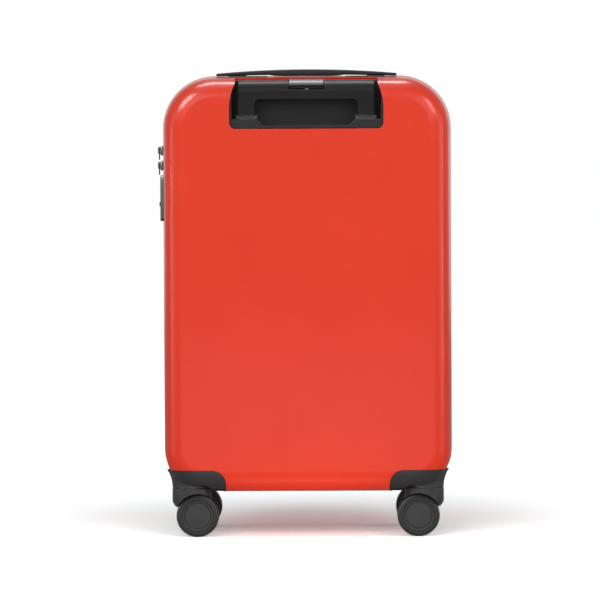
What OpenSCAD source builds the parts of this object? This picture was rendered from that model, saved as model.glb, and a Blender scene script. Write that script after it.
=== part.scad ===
// Hard shell cabin suitcase on four swivelling twin-wheel casters, standing upright and closed.
// The floor is z = 0. The back shell, with the pull handle, looks towards -Y. The zip and its lock
// are on the -X side, and the halves hinge on the fabric band of the +X side.

/* [Case] */
// Width over the rims of the shells
case_w = 342; // [320:1:380]
// Height of the shells, from lowest to highest rim
shell_h = 493; // [460:1:560]
// Height of the lowest rim above the floor
shell_z = 50; // [48:0.5:56]
// Depth from the back face to the front face
case_d = 220; // [205:1:260]
// Radius of the two top corners, seen from the back
top_corner_r = 62; // [56:1:70]
// Radius of the two bottom corners, seen from the back
bottom_corner_r = 50; // [46:1:60]
// Radius between a face and the sides around it
edge_r = 24; // [20:0.5:27]
// Lean of the shells' sides, in degrees
draft = 3; // [1:0.5:3.5]
// Wall of the moulded shells
shell_wall = 2.5; // [2:0.1:3.2]

/* [Zip band] */
// Width of the fabric band between the two rims
band_w = 28; // [24:1:32]
// Thickness of the zip tape
tape_t = 1.6; // [1.2:0.1:2]
// Length of tape sewn inside each rim
tape_lap = 7; // [5:1:8]
// Width of one row of zip teeth
teeth_w = 2.8; // [2:0.1:3.4]
// Height of the zip teeth above the tape
teeth_h = 1.5; // [1.2:0.1:2]
// Gap between the halves along the zip
split_gap = 0.3; // [0.2:0.05:0.6]
// Length of a zip slider
slider_l = 12; // [9:0.5:13]
// Height of the upper zip slider's middle
upper_slider_z = 455; // [448:1:465]
// Distance between the middles of the two sliders
slider_pitch = 18; // [17:0.5:22]
// Length of a zip pull tab, below its pivot
tab_l = 13; // [10:0.5:13.5]
// Width of a zip pull tab
tab_w = 7; // [6.5:0.5:9]
// Radius of a pull tab's pivot pin
tab_pin_r = 0.9; // [0.7:0.05:1.1]

/* [Lock] */
// Length of the lock's face plate
lock_l = 54; // [52:1:62]
// Width of the lock's face plate
lock_w = 26; // [22:1:28]
// Height of the middle of the lock
lock_z = 398.5; // [380:0.5:400]
// How far the lock's face stands out from the rims
lock_proud = 2.6; // [2.4:0.1:4]
// Depth of the lock behind its face
lock_d = 14; // [13.8:0.1:18]
// Radius of a number dial
dial_r = 6.5; // [5.5:0.1:6.6]
// Thickness of a number dial
dial_t = 5.2; // [4:0.1:5.8]
// Distance between number dials
dial_pitch = 7; // [6.6:0.1:7.5]
// How far a dial stands out of the lock's face
dial_proud = 0.5; // [0.3:0.1:1.2]
// Length of the release button
release_l = 5.4; // [4:0.1:6]

/* [Pull handle] */
// Width of the tray that holds the pull handle
tray_w = 176; // [172:1:190]
// Height of the tray's underside
tray_z = 480.5; // [476:0.5:484]
// Depth of the tray from the back face
tray_d = 34; // [32:0.5:38]
// Wall of the tray
tray_wall = 2.4; // [2:0.1:3]
// Height of the ledge that the telescopic tubes pass through
ledge_h = 10.7; // [9:0.1:12]
// Width of each ledge with its chamfer
ledge_w = 38; // [36:1:44]
// Gap between each end of the grip and the side of the tray
grip_play = 8.5; // [6:0.5:10]
// Height of the grip's top
grip_top = 537; // [536:0.5:541]
// Height of the lower edge of the grip's bar
grip_bar_z = 514.6; // [512:0.2:516]
// Thickness of the grip from back to front
grip_d = 24; // [23:0.5:25]
// Radius of the grip's upper back edge
grip_edge_r = 13.5; // [10:0.5:16]
// Width of each leg of the grip
grip_leg_w = 19; // [18:0.5:20]
// Width of the release button in the grip
button_w = 40.6; // [30:0.2:50]
// Travel of the release button
button_travel = 4; // [2:0.5:5]
// Distance from the side of the tray to the middle of each tube
tube_side = 18; // [17:0.5:19]
// Distance from the back face to the middle of the tubes
tube_inset = 14; // [13.5:0.5:15]
// Width of the outer tubes
outer_tube_w = 26; // [26:0.2:28]
// Thickness of the outer tubes
outer_tube_t = 17; // [17:0.2:18]
// Wall of every tube
tube_wall = 1.2; // [1:0.05:1.3]
// Step in width from one tube to the next inside it
tube_step = 4.4; // [4.2:0.1:4.8]
// Radius of the tubes' corners
tube_r = 2.6; // [2:0.1:3]
// Radius of a push rod
rod_r = 1.9; // [1.4:0.1:2.1]
// Radius of a tube lock pin
lock_pin_r = 1.5; // [1:0.1:1.7]

/* [Carry handle] */
// Length of the carry handle
carry_l = 213; // [190:1:230]
// Width of the carry handle
carry_w = 22; // [18:1:26]
// Height of the top of the carry handle
carry_top = 550; // [549:0.5:556]
// How much higher its middle is than its ends
carry_rise = 4.7; // [3:0.1:6]
// How much higher the strap's underside is in its middle than at its ends
carry_hollow = 1.6; // [1:0.1:2]
// Thickness of the strap's ends
strap_t = 3; // [2.4:0.1:3.2]
// Thickness of the grip at its middle
carry_grip_t = 7.6; // [5:0.1:7.8]
// Length of the thick grip
carry_grip_l = 88; // [70:1:110]
// Distance from the back face to the middle of the carry handle
carry_inset = 65; // [60:1:75]
// Distance from the middle to each post of the carry handle
carry_post_x = 81.7; // [76:0.1:86]
// Length of each foot's plate, from the outer end of its post
carry_foot_l = 46; // [38:1:47]

/* [Casters] */
// Distance from the side of the case to each swivel axis
swivel_side = 34; // [32:0.5:37]
// Distance from each face to the swivel axis
swivel_inset = 34; // [33:0.5:38]
// Radius of a caster's swivelling fork
fork_r = 23; // [21:0.5:24]
// Height of the top of the fork
fork_top = 58; // [57:0.5:60]
// Height of the lowest point of the fork's skirt
skirt_z = 35; // [33:0.5:38]
// Thickness of the fork between its wheels
web_t = 10; // [9:0.5:12]
// Radius of a wheel
wheel_r = 25; // [23:0.25:25.5]
// Width of each of the two wheels
wheel_w = 9.5; // [8:0.5:11]
// Distance from the swivel axis to the axle
trail = 7; // [4:0.5:8]
// Radius of the hub inside the tyre
hub_r = 19.5; // [16:0.5:21]
// Radius of the axle
axle_r = 3; // [2.5:0.1:4]
// Radius of the swivel pin
swivel_pin_r = 3.5; // [3:0.1:4]
// Distance from the side of the case to the inner side of a corner housing
notch_w = 75; // [71:0.5:79]
// Height of the top edge of a corner housing
notch_z = 79.5; // [78.5:0.5:82]
// Distance from a face to the far side of a corner housing
notch_d = 72; // [70:0.5:76]
// Radius of the corner housing's upper corners
notch_r = 16.5; // [12:0.5:18]
// Radius of the pocket under the housing, around the fork
pocket_r = 33; // [30:0.5:34]
// Height of the pocket's ceiling
pocket_z = 62; // [61.5:0.5:64]

/* [Lining] */
// Depth from a face to the lining's floor in the back half
back_floor_d = 25.5; // [25:0.5:30]
// Depth from a face to the lining's floor in the front half
front_floor_d = 5; // [4:0.5:12]
// Thickness of the lining
lining_t = 1.2; // [0.8:0.1:1.6]
// Gap between the shell and the lining's sides at the rim
lining_gap = 2.2; // [2:0.1:3]
// Width of a packing strap
pack_strap_w = 25; // [20:1:38]
// Height of the lower packing strap
lower_strap_z = 190; // [150:5:230]
// Height of the upper packing strap
upper_strap_z = 370; // [330:5:420]

/* [Fasteners and fits] */
// Radius of a screw's shank
screw_r = 1.9; // [1.5:0.05:2]
// Radius of a screw's head
screw_head_r = 3.6; // [3:0.1:4]
// Height of a screw's head
screw_head_h = 2.2; // [1.6:0.1:2.6]
// Gap of a seated piece all round
seat_gap = 0.2; // [0.1:0.05:0.3]
// Gap between pieces that slide past each other
slide_gap = 0.2; // [0.15:0.05:0.3]
// Gap around what only has to move freely
free_gap = 0.4; // [0.3:0.05:0.6]
// Radial clearance of a turning pin
pin_gap = 0.06; // [0.02:0.01:0.1]

/* [Hidden] */
$fn = 64;
over = 1;                                  // how far a cut runs past the face it opens

shell_colour = [0.88, 0.25, 0.19];
plastic_colour = [0.16, 0.16, 0.17];
metal_colour = [0.72, 0.73, 0.75];
fabric_colour = [0.12, 0.12, 0.13];
lining_colour = [0.30, 0.31, 0.33];

half_d = case_d / 2;                       // depth of one half, from the seam to its face
rim_d = band_w / 2;                        // depth of a rim from the seam
lean = tan(draft);
slant = sqrt(1 + lean * lean);
ring_w = edge_r + (half_d - rim_d) * lean + 4;   // width of the swept ring around the flat face
shell_top = shell_z + shell_h;
edge_mid = -edge_r * slant - lean * (half_d - edge_r - rim_d);   // centre of the edge round
face_y = -half_d;

tape_x = case_w / 2;                       // outside of the zip tape on the straight sides
lower_slider_z = upper_slider_z - slider_pitch;
slider_wall = 1.2;
slider_top = teeth_h + 0.3 + slider_wall + 0.3;  // outside of a slider's plate, from the tape
tab_t = 1.4;
tab_pivot = slider_top + tab_t / 2 + 0.9;  // a tab's pivot, from the tape
tab_arm_t = 1.2;
bridge_t = 2.4;
tab_pivot_up = 2;                          // a tab's pivot above its slider's middle

lock_body_w = lock_w - 4;
lock_body_l = lock_l - 4;
lock_plate_in = 3;                         // how deep the plate reaches behind the rims
lock_y = -(rim_d + tape_lap + 1 + lock_body_w / 2);
lock_face = case_w / 2 + lock_proud;
dial_x = lock_face + dial_proud - dial_r;
dial_z = lock_z + 7.5;                     // the middle dial
release_z = lock_z - 7.2;
release_travel = 3;
spindle_r = 1.4;
release_w = 9;
release_proud = 1.3;

tray_back = face_y + tray_d;
tray_floor = tray_z + 3.5;
ledge_top = tray_z + ledge_h;
ledge_slope = 7.5;                         // how far the ledge's chamfer runs sideways
tray_corner_r = 7;
flange_t = 2.4;
flange_reach = 8;                          // how far the flange reaches past the recess
screw_cover = 0.6;                         // wall left outside the tips of the tray's screws
screw_bore = 12;                           // depth of a screw's hole in a plastic piece
tray_screw_pitch = 40;
ledge_x = tray_w / 2 - ledge_w;            // half of the clear width between the ledges
grip_w = tray_w - 2 * grip_play;
tube_x = tray_w / 2 - tube_side;

tube_y = face_y + tube_inset;
outer_in_w = outer_tube_w - 2 * tube_wall;
outer_in_t = outer_tube_t - 2 * tube_wall;
middle_w = outer_tube_w - tube_step;
middle_t = outer_tube_t - tube_step;
middle_in_w = middle_w - 2 * tube_wall;
middle_in_t = middle_t - 2 * tube_wall;
inner_w = middle_w - tube_step;
inner_t = middle_t - tube_step;
inner_in_w = inner_w - 2 * tube_wall;
inner_in_t = inner_t - 2 * tube_wall;
bush_h = 16;                               // height of the sliding plugs
outer_foot = shell_z + 18;                 // lower end of the outer tubes
middle_foot = outer_foot + 6;
inner_foot = middle_foot + bush_h + 4;
foot_edge = 4;                             // plastic around the tubes in their foot
foot_grip = 12;                            // length of tube that the foot holds
outer_head = ledge_top - 3;                // upper end of the outer tubes, in the ledge
collar_t = 4.2;                            // collar on top of each middle tube
collar_z = ledge_top + 0.3;
leg_z = collar_z + collar_t + 0.3;         // lower end of the grip's legs

grip_face = face_y + 2;
grip_back = grip_face + grip_d;
grip_wall = 2.8;
button_proud = 1.2;
yoke_z = grip_bar_z + 13;                  // underside of the yoke that joins the push rods
yoke_h = 3;
yoke_t = 6;
spring_r = 4;
spring_wire_r = 0.7;
spring_turns = 4;
pin_z = middle_foot + 9;                   // height of the tube lock pins

carry_y = face_y + carry_inset;
strap_foot = carry_top - carry_rise - strap_t;   // underside of the strap's ends
grip_belly = carry_grip_t - (carry_top - strap_foot - carry_hollow);
post_l = 21;
post_w = 12;

swivel_x = case_w / 2 - swivel_side;
swivel_y = half_d - swivel_inset;
notch_x = case_w / 2 - notch_w;
boss_z = fork_top + 0.5;                   // underside of the boss that the fork turns under
race_t = 1.8;
race_seat = race_t - 0.3;                  // how deep the race lies in the fork's top
race_r = fork_r - 4;
flare_top = notch_z - seat_gap;
flare_w = 6.5;                             // how far it widens
flare_rise = flare_top - boss_z;
flare_arc_r = (flare_rise * flare_rise + flare_w * flare_w) / (2 * flare_w);
housing_proud = 0.4;
housing_wall = 2.6;
skirt_top = 57;                            // height of a housing's lower edge
pin_foot = wheel_r + 16;
pin_head = notch_z - 3.5;
caster_screw_r = 15;                       // pitch radius of a housing's four screws
caster_screw_l = 14;
well_gap = 1.3;                            // gap between a wheel and the fork over it
wheel_gap = 0.4;                           // gap between a wheel and the fork's web
tyre_chamfer = 1.6;
axle_end = 2;                              // hub left over the axle's end
web_w = 8;                                 // half the width of the web around the axle

pack_strap_t = 1.4;
strap_margin = 30;                         // from the case's side to a packing strap's end
buckle_w = 36;
buckle_h = 34;
buckle_t = 5;
back_floor_y = half_d - back_floor_d;      // depth of the lining's floor from the seam
front_floor_y = half_d - front_floor_d;

// Turns a flat drawing of width and height, with depth as its thickness, to stand in the back half
module standing() { rotate([90, 0, 0]) children(); }

// Puts a piece of the back half in the front half instead
module in_front() { mirror([0, 1, 0]) children(); }

module mirrored_pair() { children(); mirror([1, 0, 0]) children(); }

// A rectangle with round corners about the origin
module rounded(w, h, r) {
    square([w - 2 * r, h], center = true);
    square([w, h - 2 * r], center = true);
    for (x = [-1, 1], y = [-1, 1]) translate([x * (w / 2 - r), y * (h / 2 - r)]) circle(r);
}

// Outline of the case seen from the back, set in by g from the rims
module outline(g) {
    side = case_w / 2;
    polygon([
        [side - g, shell_z + bottom_corner_r], [side - g, shell_top - top_corner_r],
        [side - top_corner_r, shell_top - g], [top_corner_r - side, shell_top - g],
        [g - side, shell_top - top_corner_r], [g - side, shell_z + bottom_corner_r],
        [bottom_corner_r - side, shell_z + g], [side - bottom_corner_r, shell_z + g]
    ]);
    for (x = [-1, 1]) {
        translate([x * (side - top_corner_r), shell_top - top_corner_r]) circle(top_corner_r - g);
        translate([x * (side - bottom_corner_r), shell_z + bottom_corner_r])
            circle(bottom_corner_r - g);
    }
}

// Sweeps a section around the outline: its x runs outwards from the rims, its y is depth.
// The straight stretch on the hinge side can be left out.
module around(hinge_side = true) {
    side = case_w / 2;
    straight_h = shell_h - top_corner_r - bottom_corner_r;
    for (m = [0, 1]) mirror([m, 0, 0]) {
        translate([side - top_corner_r, shell_top - top_corner_r, 0])
            rotate_extrude(angle = 90) translate([top_corner_r, 0]) children();
        translate([side - bottom_corner_r, shell_z + bottom_corner_r, 0]) rotate([0, 0, -90])
            rotate_extrude(angle = 90) translate([bottom_corner_r, 0]) children();
        if (m == 1 || hinge_side)
            translate([side, shell_top - top_corner_r, 0]) rotate([90, 0, 0])
                linear_extrude(straight_h) children();
    }
    top_w = case_w - 2 * top_corner_r;
    translate([-top_w / 2, shell_top, 0]) rotate([0, 0, 90]) rotate([90, 0, 0])
        linear_extrude(top_w) children();
    bottom_w = case_w - 2 * bottom_corner_r;
    translate([bottom_w / 2, shell_z, 0]) rotate([0, 0, -90]) rotate([90, 0, 0])
        linear_extrude(bottom_w) children();
}

// Section of one half's side, edge round and face, set in by g, from depth d0 on. The round meets
// the side and the face at a few degrees, so that it always cuts them cleanly.
module half_section(g, d0) {
    wall_x = function (d) -(d - rim_d) * lean - g * slant;
    top_d = half_d - g;
    far = 2 * half_d;
    intersection() {
        polygon([[-ring_w, d0], [wall_x(d0), d0], [wall_x(top_d), top_d], [-ring_w, top_d]]);
        translate([edge_mid, half_d - edge_r]) union() {
            circle((edge_r - g) / cos(4));
            polygon([[-far, -far], [far, -far], [far, -2], [0, -2], [0, far], [-far, far]]);
        }
    }
}

// One half of the case as a solid block, set in by g, from depth d0 to its face
module half_block(g, d0 = rim_d) {
    standing() {
        around() half_section(g, d0);
        translate([0, 0, d0]) linear_extrude(half_d - g - d0) outline(ring_w - 1);
    }
}

// The corner that a caster's housing takes from a half, grown by g. It reaches far past the case.
module corner_notch(g = 0) {
    reach = case_w;
    intersection() {
        standing() linear_extrude(reach) {
            translate([-reach, 0]) square([reach - notch_x - notch_r, notch_z + g]);
            translate([-reach, 0]) square([reach - notch_x + g, notch_z - notch_r]);
            translate([-notch_x - notch_r, notch_z - notch_r]) circle(notch_r + g);
        }
        translate([-reach, 0, 0]) rotate([90, 0, 90]) linear_extrude(reach) {
            far = -half_d + notch_d;
            translate([-reach, 0]) square([reach + far - notch_r, 2 * notch_z]);
            translate([-reach, 0]) square([reach + far + g, notch_z - notch_r]);
            translate([far - notch_r, notch_z - notch_r]) circle(notch_r + g);
        }
    }
}

module screw(length) {
    cylinder(r = screw_r, h = length);
    translate([0, 0, length]) cylinder(r = screw_head_r, h = screw_head_h);
}

module caster_screw_places() {
    for (a = [45 : 90 : 315])
        translate([-swivel_x, -swivel_y, 0]) rotate([0, 0, a]) translate([caster_screw_r, 0, 0])
            children();
}

// ---- Shells, band and zip ----

module caster_pockets_cut() { mirrored_pair() corner_notch(); }

// One moulded shell: a wall of even thickness with a closed pocket for each caster
module half_shell() {
    difference() {
        half_block(0);
        difference() {
            half_block(shell_wall, rim_d - over);
            mirrored_pair() corner_notch(shell_wall);
        }
        caster_pockets_cut();
        mirrored_pair() caster_screw_places()
            translate([0, 0, notch_z - over]) cylinder(r = screw_r + seat_gap, h = 2 * shell_wall);
    }
}

module tray_cut(g) {
    translate([-tray_w / 2 - g, face_y - over, tray_z - g + tray_corner_r])
        cube([tray_w + 2 * g, tray_d + over + g, shell_top]);
    translate([0, face_y - over, tray_z - g + 2 * tray_corner_r]) rotate([-90, 0, 0])
        linear_extrude(tray_d + over + g)
            rounded(tray_w + 2 * g, 4 * tray_corner_r, tray_corner_r);
}

module back_shell() {
    color(shell_colour) difference() {
        half_shell();
        tray_cut(seat_gap);
        tray_screw_places() cylinder(r = screw_r, h = screw_bore);
        lock_opening();
        carry_screw_places() cylinder(r = screw_r + seat_gap, h = 2 * shell_h);
    }
}

module front_shell() { color(shell_colour) in_front() half_shell(); }

// Half of the fabric band, bulging out from inside the rim to the teeth
module tape_section() {
    inside = function (d) -(d - rim_d) * lean - shell_wall * slant - 0.1;
    bulge_d = rim_d * 0.6;
    polygon([
        [0, split_gap / 2], [0, teeth_w + 0.6], [-0.5, bulge_d], [inside(rim_d), rim_d],
        [inside(rim_d + tape_lap), rim_d + tape_lap],
        [inside(rim_d + tape_lap) - tape_t, rim_d + tape_lap],
        [inside(rim_d) - tape_t, rim_d], [-0.5 - tape_t, bulge_d - 1], [-tape_t, split_gap / 2]
    ]);
}

module teeth_section() {
    translate([0, split_gap / 2]) square([teeth_h, teeth_w]);
}

module back_zip_tape() { color(fabric_colour) standing() around() tape_section(); }
module front_zip_tape() { color(fabric_colour) in_front() standing() around() tape_section(); }
module back_zip_teeth() {
    color(plastic_colour) standing() around(hinge_side = false) teeth_section();
}
module front_zip_teeth() {
    color(plastic_colour) in_front() standing() around(hinge_side = false) teeth_section();
}

// A slider's plate covers both rows of teeth, and its flank hooks round the back row. A bridge on
// the plate holds its pull tab.
module zip_slider(z) {
    plate = teeth_h + 0.3;
    half_w = teeth_w + split_gap / 2 + 0.3 + slider_wall;
    channel_w = half_w - slider_wall;
    color(metal_colour) difference() {
        translate([-tape_x - slider_top, 0, z]) union() {
            translate([0, -half_w, -slider_l / 2]) cube([slider_top - 0.3, 2 * half_w, slider_l]);
            translate([0, -bridge_t / 2, -slider_l / 2 + 1.5])
                translate([slider_top - tab_pivot - 2, 0, 0])
                    cube([tab_pivot - slider_top + 3, bridge_t, slider_l - 3]);
        }
        translate([-tape_x - plate, -channel_w, z - slider_l])
            cube([plate + over, channel_w + half_w + over, 2 * slider_l]);
        translate([-tape_x - tab_pivot, bridge_t, z + tab_pivot_up]) rotate([90, 0, 0])
            cylinder(r = tab_pin_r + pin_gap, h = 2 * bridge_t);
    }
}

module zip_slider_upper() { zip_slider(upper_slider_z); }
module zip_slider_lower() { zip_slider(lower_slider_z); }

// A pull tab hangs from a pin through its slider's bridge, between two arms
module zip_tab(z) {
    arm_y = bridge_t / 2 + 0.3;
    head_l = slider_l / 2 + tab_pivot_up - 1.5 + 0.6;   // the arms clear the bridge's lower end
    color(plastic_colour) translate([-tape_x - tab_pivot, 0, z + tab_pivot_up]) {
        translate([0, arm_y + tab_arm_t, 0]) rotate([90, 0, 0])
            cylinder(r = tab_pin_r, h = 2 * (arm_y + tab_arm_t));
        for (s = [-1, 1])
            translate([-tab_t / 2, s * (arm_y + tab_arm_t / 2) - tab_arm_t / 2, -head_l - 1])
                cube([tab_t, tab_arm_t, head_l + 1 + tab_pin_r]);
        translate([-tab_t / 2, -tab_w / 2, -tab_l]) cube([tab_t, tab_w, tab_l - head_l]);
    }
}

module zip_tab_upper() { zip_tab(upper_slider_z); }
module zip_tab_lower() { zip_tab(lower_slider_z); }

// ---- Lock ----

module lock_opening() {
    translate([-lock_face - over, lock_y - lock_body_w / 2 - seat_gap,
               lock_z - lock_body_l / 2 - seat_gap])
        cube([lock_d + 2 * over, lock_body_w + 2 * seat_gap, lock_body_l + 2 * seat_gap]);
}

module dial_places() {
    for (i = [-1, 0, 1]) translate([-dial_x, lock_y, dial_z + i * dial_pitch]) children();
}

module lock_body() {
    difference() {
        union() {
            color(metal_colour) difference() {
                translate([-lock_face, lock_y - lock_w / 2, lock_z - lock_l / 2])
                    cube([lock_plate_in + lock_proud, lock_w, lock_l]);
                half_block(0);
            }
            color(metal_colour)
                translate([-lock_face + 0.5, lock_y - lock_body_w / 2, lock_z - lock_body_l / 2])
                    cube([lock_d - 0.5, lock_body_w, lock_body_l]);
        }
        dial_places() difference() {
            cylinder(r = dial_r + free_gap, h = dial_t + 2 * free_gap, center = true);
            cylinder(r = spindle_r, h = dial_pitch, center = true);
        }
        translate([-lock_face - over, lock_y - release_w / 2 - slide_gap,
                   release_z - release_l / 2 - slide_gap - release_travel])
            cube([over + 5, release_w + 2 * slide_gap,
                  release_l + 2 * slide_gap + release_travel]);
        translate([-lock_face - over, lock_y, lock_z - lock_l / 2 + 7]) rotate([0, 90, 0])
            cylinder(r = 2.5, h = over + 4);
    }
}

// A number dial: a short drum on the lock's spindle
module lock_dial(i) {
    color(plastic_colour) translate([-dial_x, lock_y, dial_z + i * dial_pitch]) difference() {
        cylinder(r = dial_r, h = dial_t, center = true);
        cylinder(r = spindle_r + pin_gap, h = dial_t + over, center = true);
    }
}
module lock_dial_1() { lock_dial(1); }
module lock_dial_2() { lock_dial(0); }
module lock_dial_3() { lock_dial(-1); }

module lock_release() {
    color(plastic_colour)
        translate([-lock_face - release_proud, lock_y - release_w / 2, release_z - release_l / 2])
            cube([release_proud + 4.6, release_w, release_l]);
}

// ---- Pull handle ----

module at_tubes() { for (s = [-1, 1]) translate([s * tube_x, tube_y, 0]) children(); }

module tube(w, t, z0, z1) {
    translate([0, 0, z0]) linear_extrude(z1 - z0) difference() {
        rounded(w, t, tube_r);
        rounded(w - 2 * tube_wall, t - 2 * tube_wall, tube_r - tube_wall);
    }
}

// The tray lines the recess in the back shell, and its ledges guide the tubes
module pull_handle_tray() {
    in_w = tray_w - 2 * tray_wall;
    color(plastic_colour) difference() {
        union() {
            intersection() { half_block(-0.3); tray_cut(0); }
            difference() {                 // flange inside the shell
                intersection() {
                    half_block(shell_wall + 0.1, rim_d);
                    translate([-tray_w / 2 - flange_reach, face_y, tray_z - flange_reach])
                        cube([tray_w + 2 * flange_reach, tray_d + flange_reach / 2, shell_top]);
                }
                half_block(shell_wall + 0.1 + flange_t, rim_d - over);
                tray_cut(-over);
            }
        }
        difference() {                     // the hollow, open to the back and to the top
            translate([-in_w / 2, face_y - 2 * over, tray_floor])
                cube([in_w, tray_d + 2 * over - tray_wall, shell_top]);
            for (m = [0, 1]) mirror([m, 0, 0])
                translate([0, tray_back, 0]) rotate([90, 0, 0])
                    linear_extrude(tray_d - 1.5) polygon([
                        [ledge_x, tray_floor - over], [ledge_x, tray_floor],
                        [ledge_x + ledge_slope, ledge_top], [tray_w / 2, ledge_top],
                        [tray_w / 2, tray_floor - over]
                    ]);
        }
        at_tubes() {
            translate([0, 0, tray_z - 2 * over]) linear_extrude(outer_head - tray_z + 2 * over)
                rounded(outer_tube_w + 2 * seat_gap, outer_tube_t + 2 * seat_gap, tube_r);
            translate([0, 0, tray_z]) linear_extrude(ledge_h + over)
                rounded(middle_w + 2 * slide_gap, middle_t + 2 * slide_gap, tube_r);
        }
        tray_screw_places() cylinder(r = screw_r, h = screw_bore);
    }
}

// Screws from inside, through the tray's flange into the back wall of the shell
module tray_screw_places() {
    for (i = [-1, 0, 1])
        translate([i * tray_screw_pitch, face_y + screw_cover, tray_z - 4.8]) rotate([-90, 0, 0]) children();
}

module outer_tubes() {
    color(metal_colour) at_tubes() tube(outer_tube_w, outer_tube_t, outer_foot, outer_head);
}

// The foot joins the lower ends of the outer tubes and sits in the bottom edge of the shell
module tube_foot() {
    foot_w = 2 * tube_x + outer_tube_w + 2 * foot_edge;
    color(plastic_colour) difference() {
        intersection() {
            half_block(shell_wall + 0.1, rim_d);
            translate([-foot_w / 2, face_y, shell_z])
                cube([foot_w, tube_inset + outer_tube_t / 2 + 1.2, outer_foot - shell_z + foot_grip]);
        }
        at_tubes() translate([0, 0, outer_foot]) linear_extrude(foot_grip + over)
            rounded(outer_tube_w + 2 * seat_gap, outer_tube_t + 2 * seat_gap, tube_r);
        mirrored_pair() corner_notch(shell_wall + 0.1);
    }
}

module middle_tubes() {
    color(metal_colour) at_tubes() tube(middle_w, middle_t, middle_foot, collar_z + collar_t - 1);
}

// At each middle tube: a sliding plug at its lower end and a collar on its upper end
module middle_tube_bushes() {
    plug_w = outer_in_w - 2 * slide_gap;
    plug_t = outer_in_t - 2 * slide_gap;
    color(plastic_colour) at_tubes() {
        translate([0, 0, middle_foot - 3]) difference() {
            linear_extrude(bush_h) rounded(plug_w, plug_t, tube_r);
            translate([0, 0, 3]) linear_extrude(bush_h) rounded(middle_w, middle_t, tube_r);
        }
        translate([0, 0, collar_z]) difference() {
            linear_extrude(collar_t) rounded(outer_tube_w, outer_tube_t, tube_r);
            translate([0, 0, -over]) linear_extrude(collar_t) rounded(middle_w, middle_t, tube_r);
            translate([0, 0, -over]) linear_extrude(collar_t + 2 * over)
                rounded(inner_w + 2 * slide_gap, inner_t + 2 * slide_gap, tube_r);
        }
    }
}

inner_head = grip_bar_z - 2;               // upper end of the inner tubes, in the grip's legs

module inner_tubes() {
    color(metal_colour) at_tubes() tube(inner_w, inner_t, inner_foot, inner_head);
}

// A block under each inner tube slides in the middle tube and carries the lock pin
module inner_tube_bushes() {
    block_w = middle_in_w - 2 * slide_gap;
    block_t = middle_in_t - 2 * slide_gap;
    spigot_gap = 0.1;
    color(plastic_colour) at_tubes() difference() {
        union() {
            translate([0, 0, inner_foot - bush_h]) linear_extrude(bush_h)
                rounded(block_w, block_t, tube_r - tube_wall);
            translate([0, 0, inner_foot - over]) linear_extrude(8)
                rounded(inner_in_w - 2 * spigot_gap, inner_in_t - 2 * spigot_gap,
                        tube_r - tube_wall - spigot_gap);
        }
        translate([0, 0, inner_foot - button_travel - 1])
            cylinder(r = rod_r + slide_gap / 2, h = 20);
        translate([0, -2, pin_z]) rotate([-90, 0, 0]) cylinder(r = lock_pin_r + pin_gap, h = 20);
    }
}

module tube_lock_pins() {
    color(metal_colour) at_tubes() translate([0, 0.4, pin_z]) rotate([-90, 0, 0])
        cylinder(r = lock_pin_r, h = middle_in_t / 2 - slide_gap - 0.6);
}

module push_rods() {
    rod_foot = inner_foot + 1;
    color(metal_colour) {
        at_tubes() translate([0, 0, rod_foot]) cylinder(r = rod_r, h = yoke_z + 1 - rod_foot);
        translate([-tube_x - 3, tube_y - yoke_t / 2, yoke_z])
            cube([2 * tube_x + 6, yoke_t, yoke_h]);
    }
}

// Side view of the grip's bar: flat back, round upper edge that follows the shell, set in by g
module grip_section(g) {
    r = grip_edge_r - g;
    w = grip_d - 2 * g;
    h = grip_top - grip_bar_z - 2 * g;
    translate([g - grip_back, grip_bar_z + g]) intersection() {
        square([w, h]);
        union() {
            square([w - r, h]);
            square([w, h - r]);
            translate([w - r, h - r]) circle(r);
        }
    }
}

module grip_bar(g, w) {
    translate([-w / 2, 0, 0]) rotate([90, 0, 90]) mirror([1, 0, 0]) linear_extrude(w)
        grip_section(g);
}

module button_space(g) {
    translate([-button_w / 2 - g, grip_face - 3, yoke_z + yoke_h - button_travel - g])
        cube([button_w + 2 * g, grip_d - 3, grip_top]);
}

module pull_grip() {
    yoke_w = 2 * tube_x + 6;
    color(plastic_colour) difference() {
        union() {
            grip_bar(0, grip_w);
            for (s = [-1, 1]) translate([s * tube_x, (grip_face + grip_back) / 2, leg_z])
                linear_extrude(grip_bar_z - leg_z + 2)
                    rounded(grip_leg_w, grip_d, 2.5);
        }
        at_tubes() {
            translate([0, 0, leg_z - over]) linear_extrude(inner_head - leg_z + over)
                rounded(inner_w, inner_t, tube_r);
            translate([0, 0, leg_z]) cylinder(r = rod_r + free_gap, h = yoke_z - leg_z);
        }
        // room for the yoke to move
        translate([-yoke_w / 2 - 0.5, tube_y - yoke_t / 2 - free_gap,
                   yoke_z - button_travel - free_gap])
            cube([yoke_w + 1, yoke_t + 2 * free_gap, button_travel + yoke_h + 2 * free_gap]);
        button_space(free_gap);
        translate([0, tube_y, grip_bar_z + grip_wall])
            cylinder(r = spring_r + 1.2, h = yoke_z - grip_bar_z);
    }
}

module grip_button() {
    color(plastic_colour) intersection() {
        grip_bar(-button_proud, grip_w);
        translate([-button_w / 2, grip_face - 3, yoke_z + yoke_h])
            cube([button_w, grip_d - 3 - free_gap, grip_top]);
    }
}

module button_spring() {
    spring_h = yoke_z - grip_bar_z - grip_wall - 0.4;
    color(metal_colour) translate([0, tube_y, grip_bar_z + grip_wall + 0.2])
        linear_extrude(spring_h, twist = -360 * spring_turns, $fn = 14)
            translate([spring_r - spring_wire_r, 0]) circle(spring_wire_r, $fn = 8);
}

// ---- Carry handle ----

module carry_screw_places() {
    for (s = [-1, 1], x = [carry_post_x, carry_post_x + post_l / 2 - carry_foot_l + 6])
        translate([s * x, carry_y, 0]) children();
}

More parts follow.
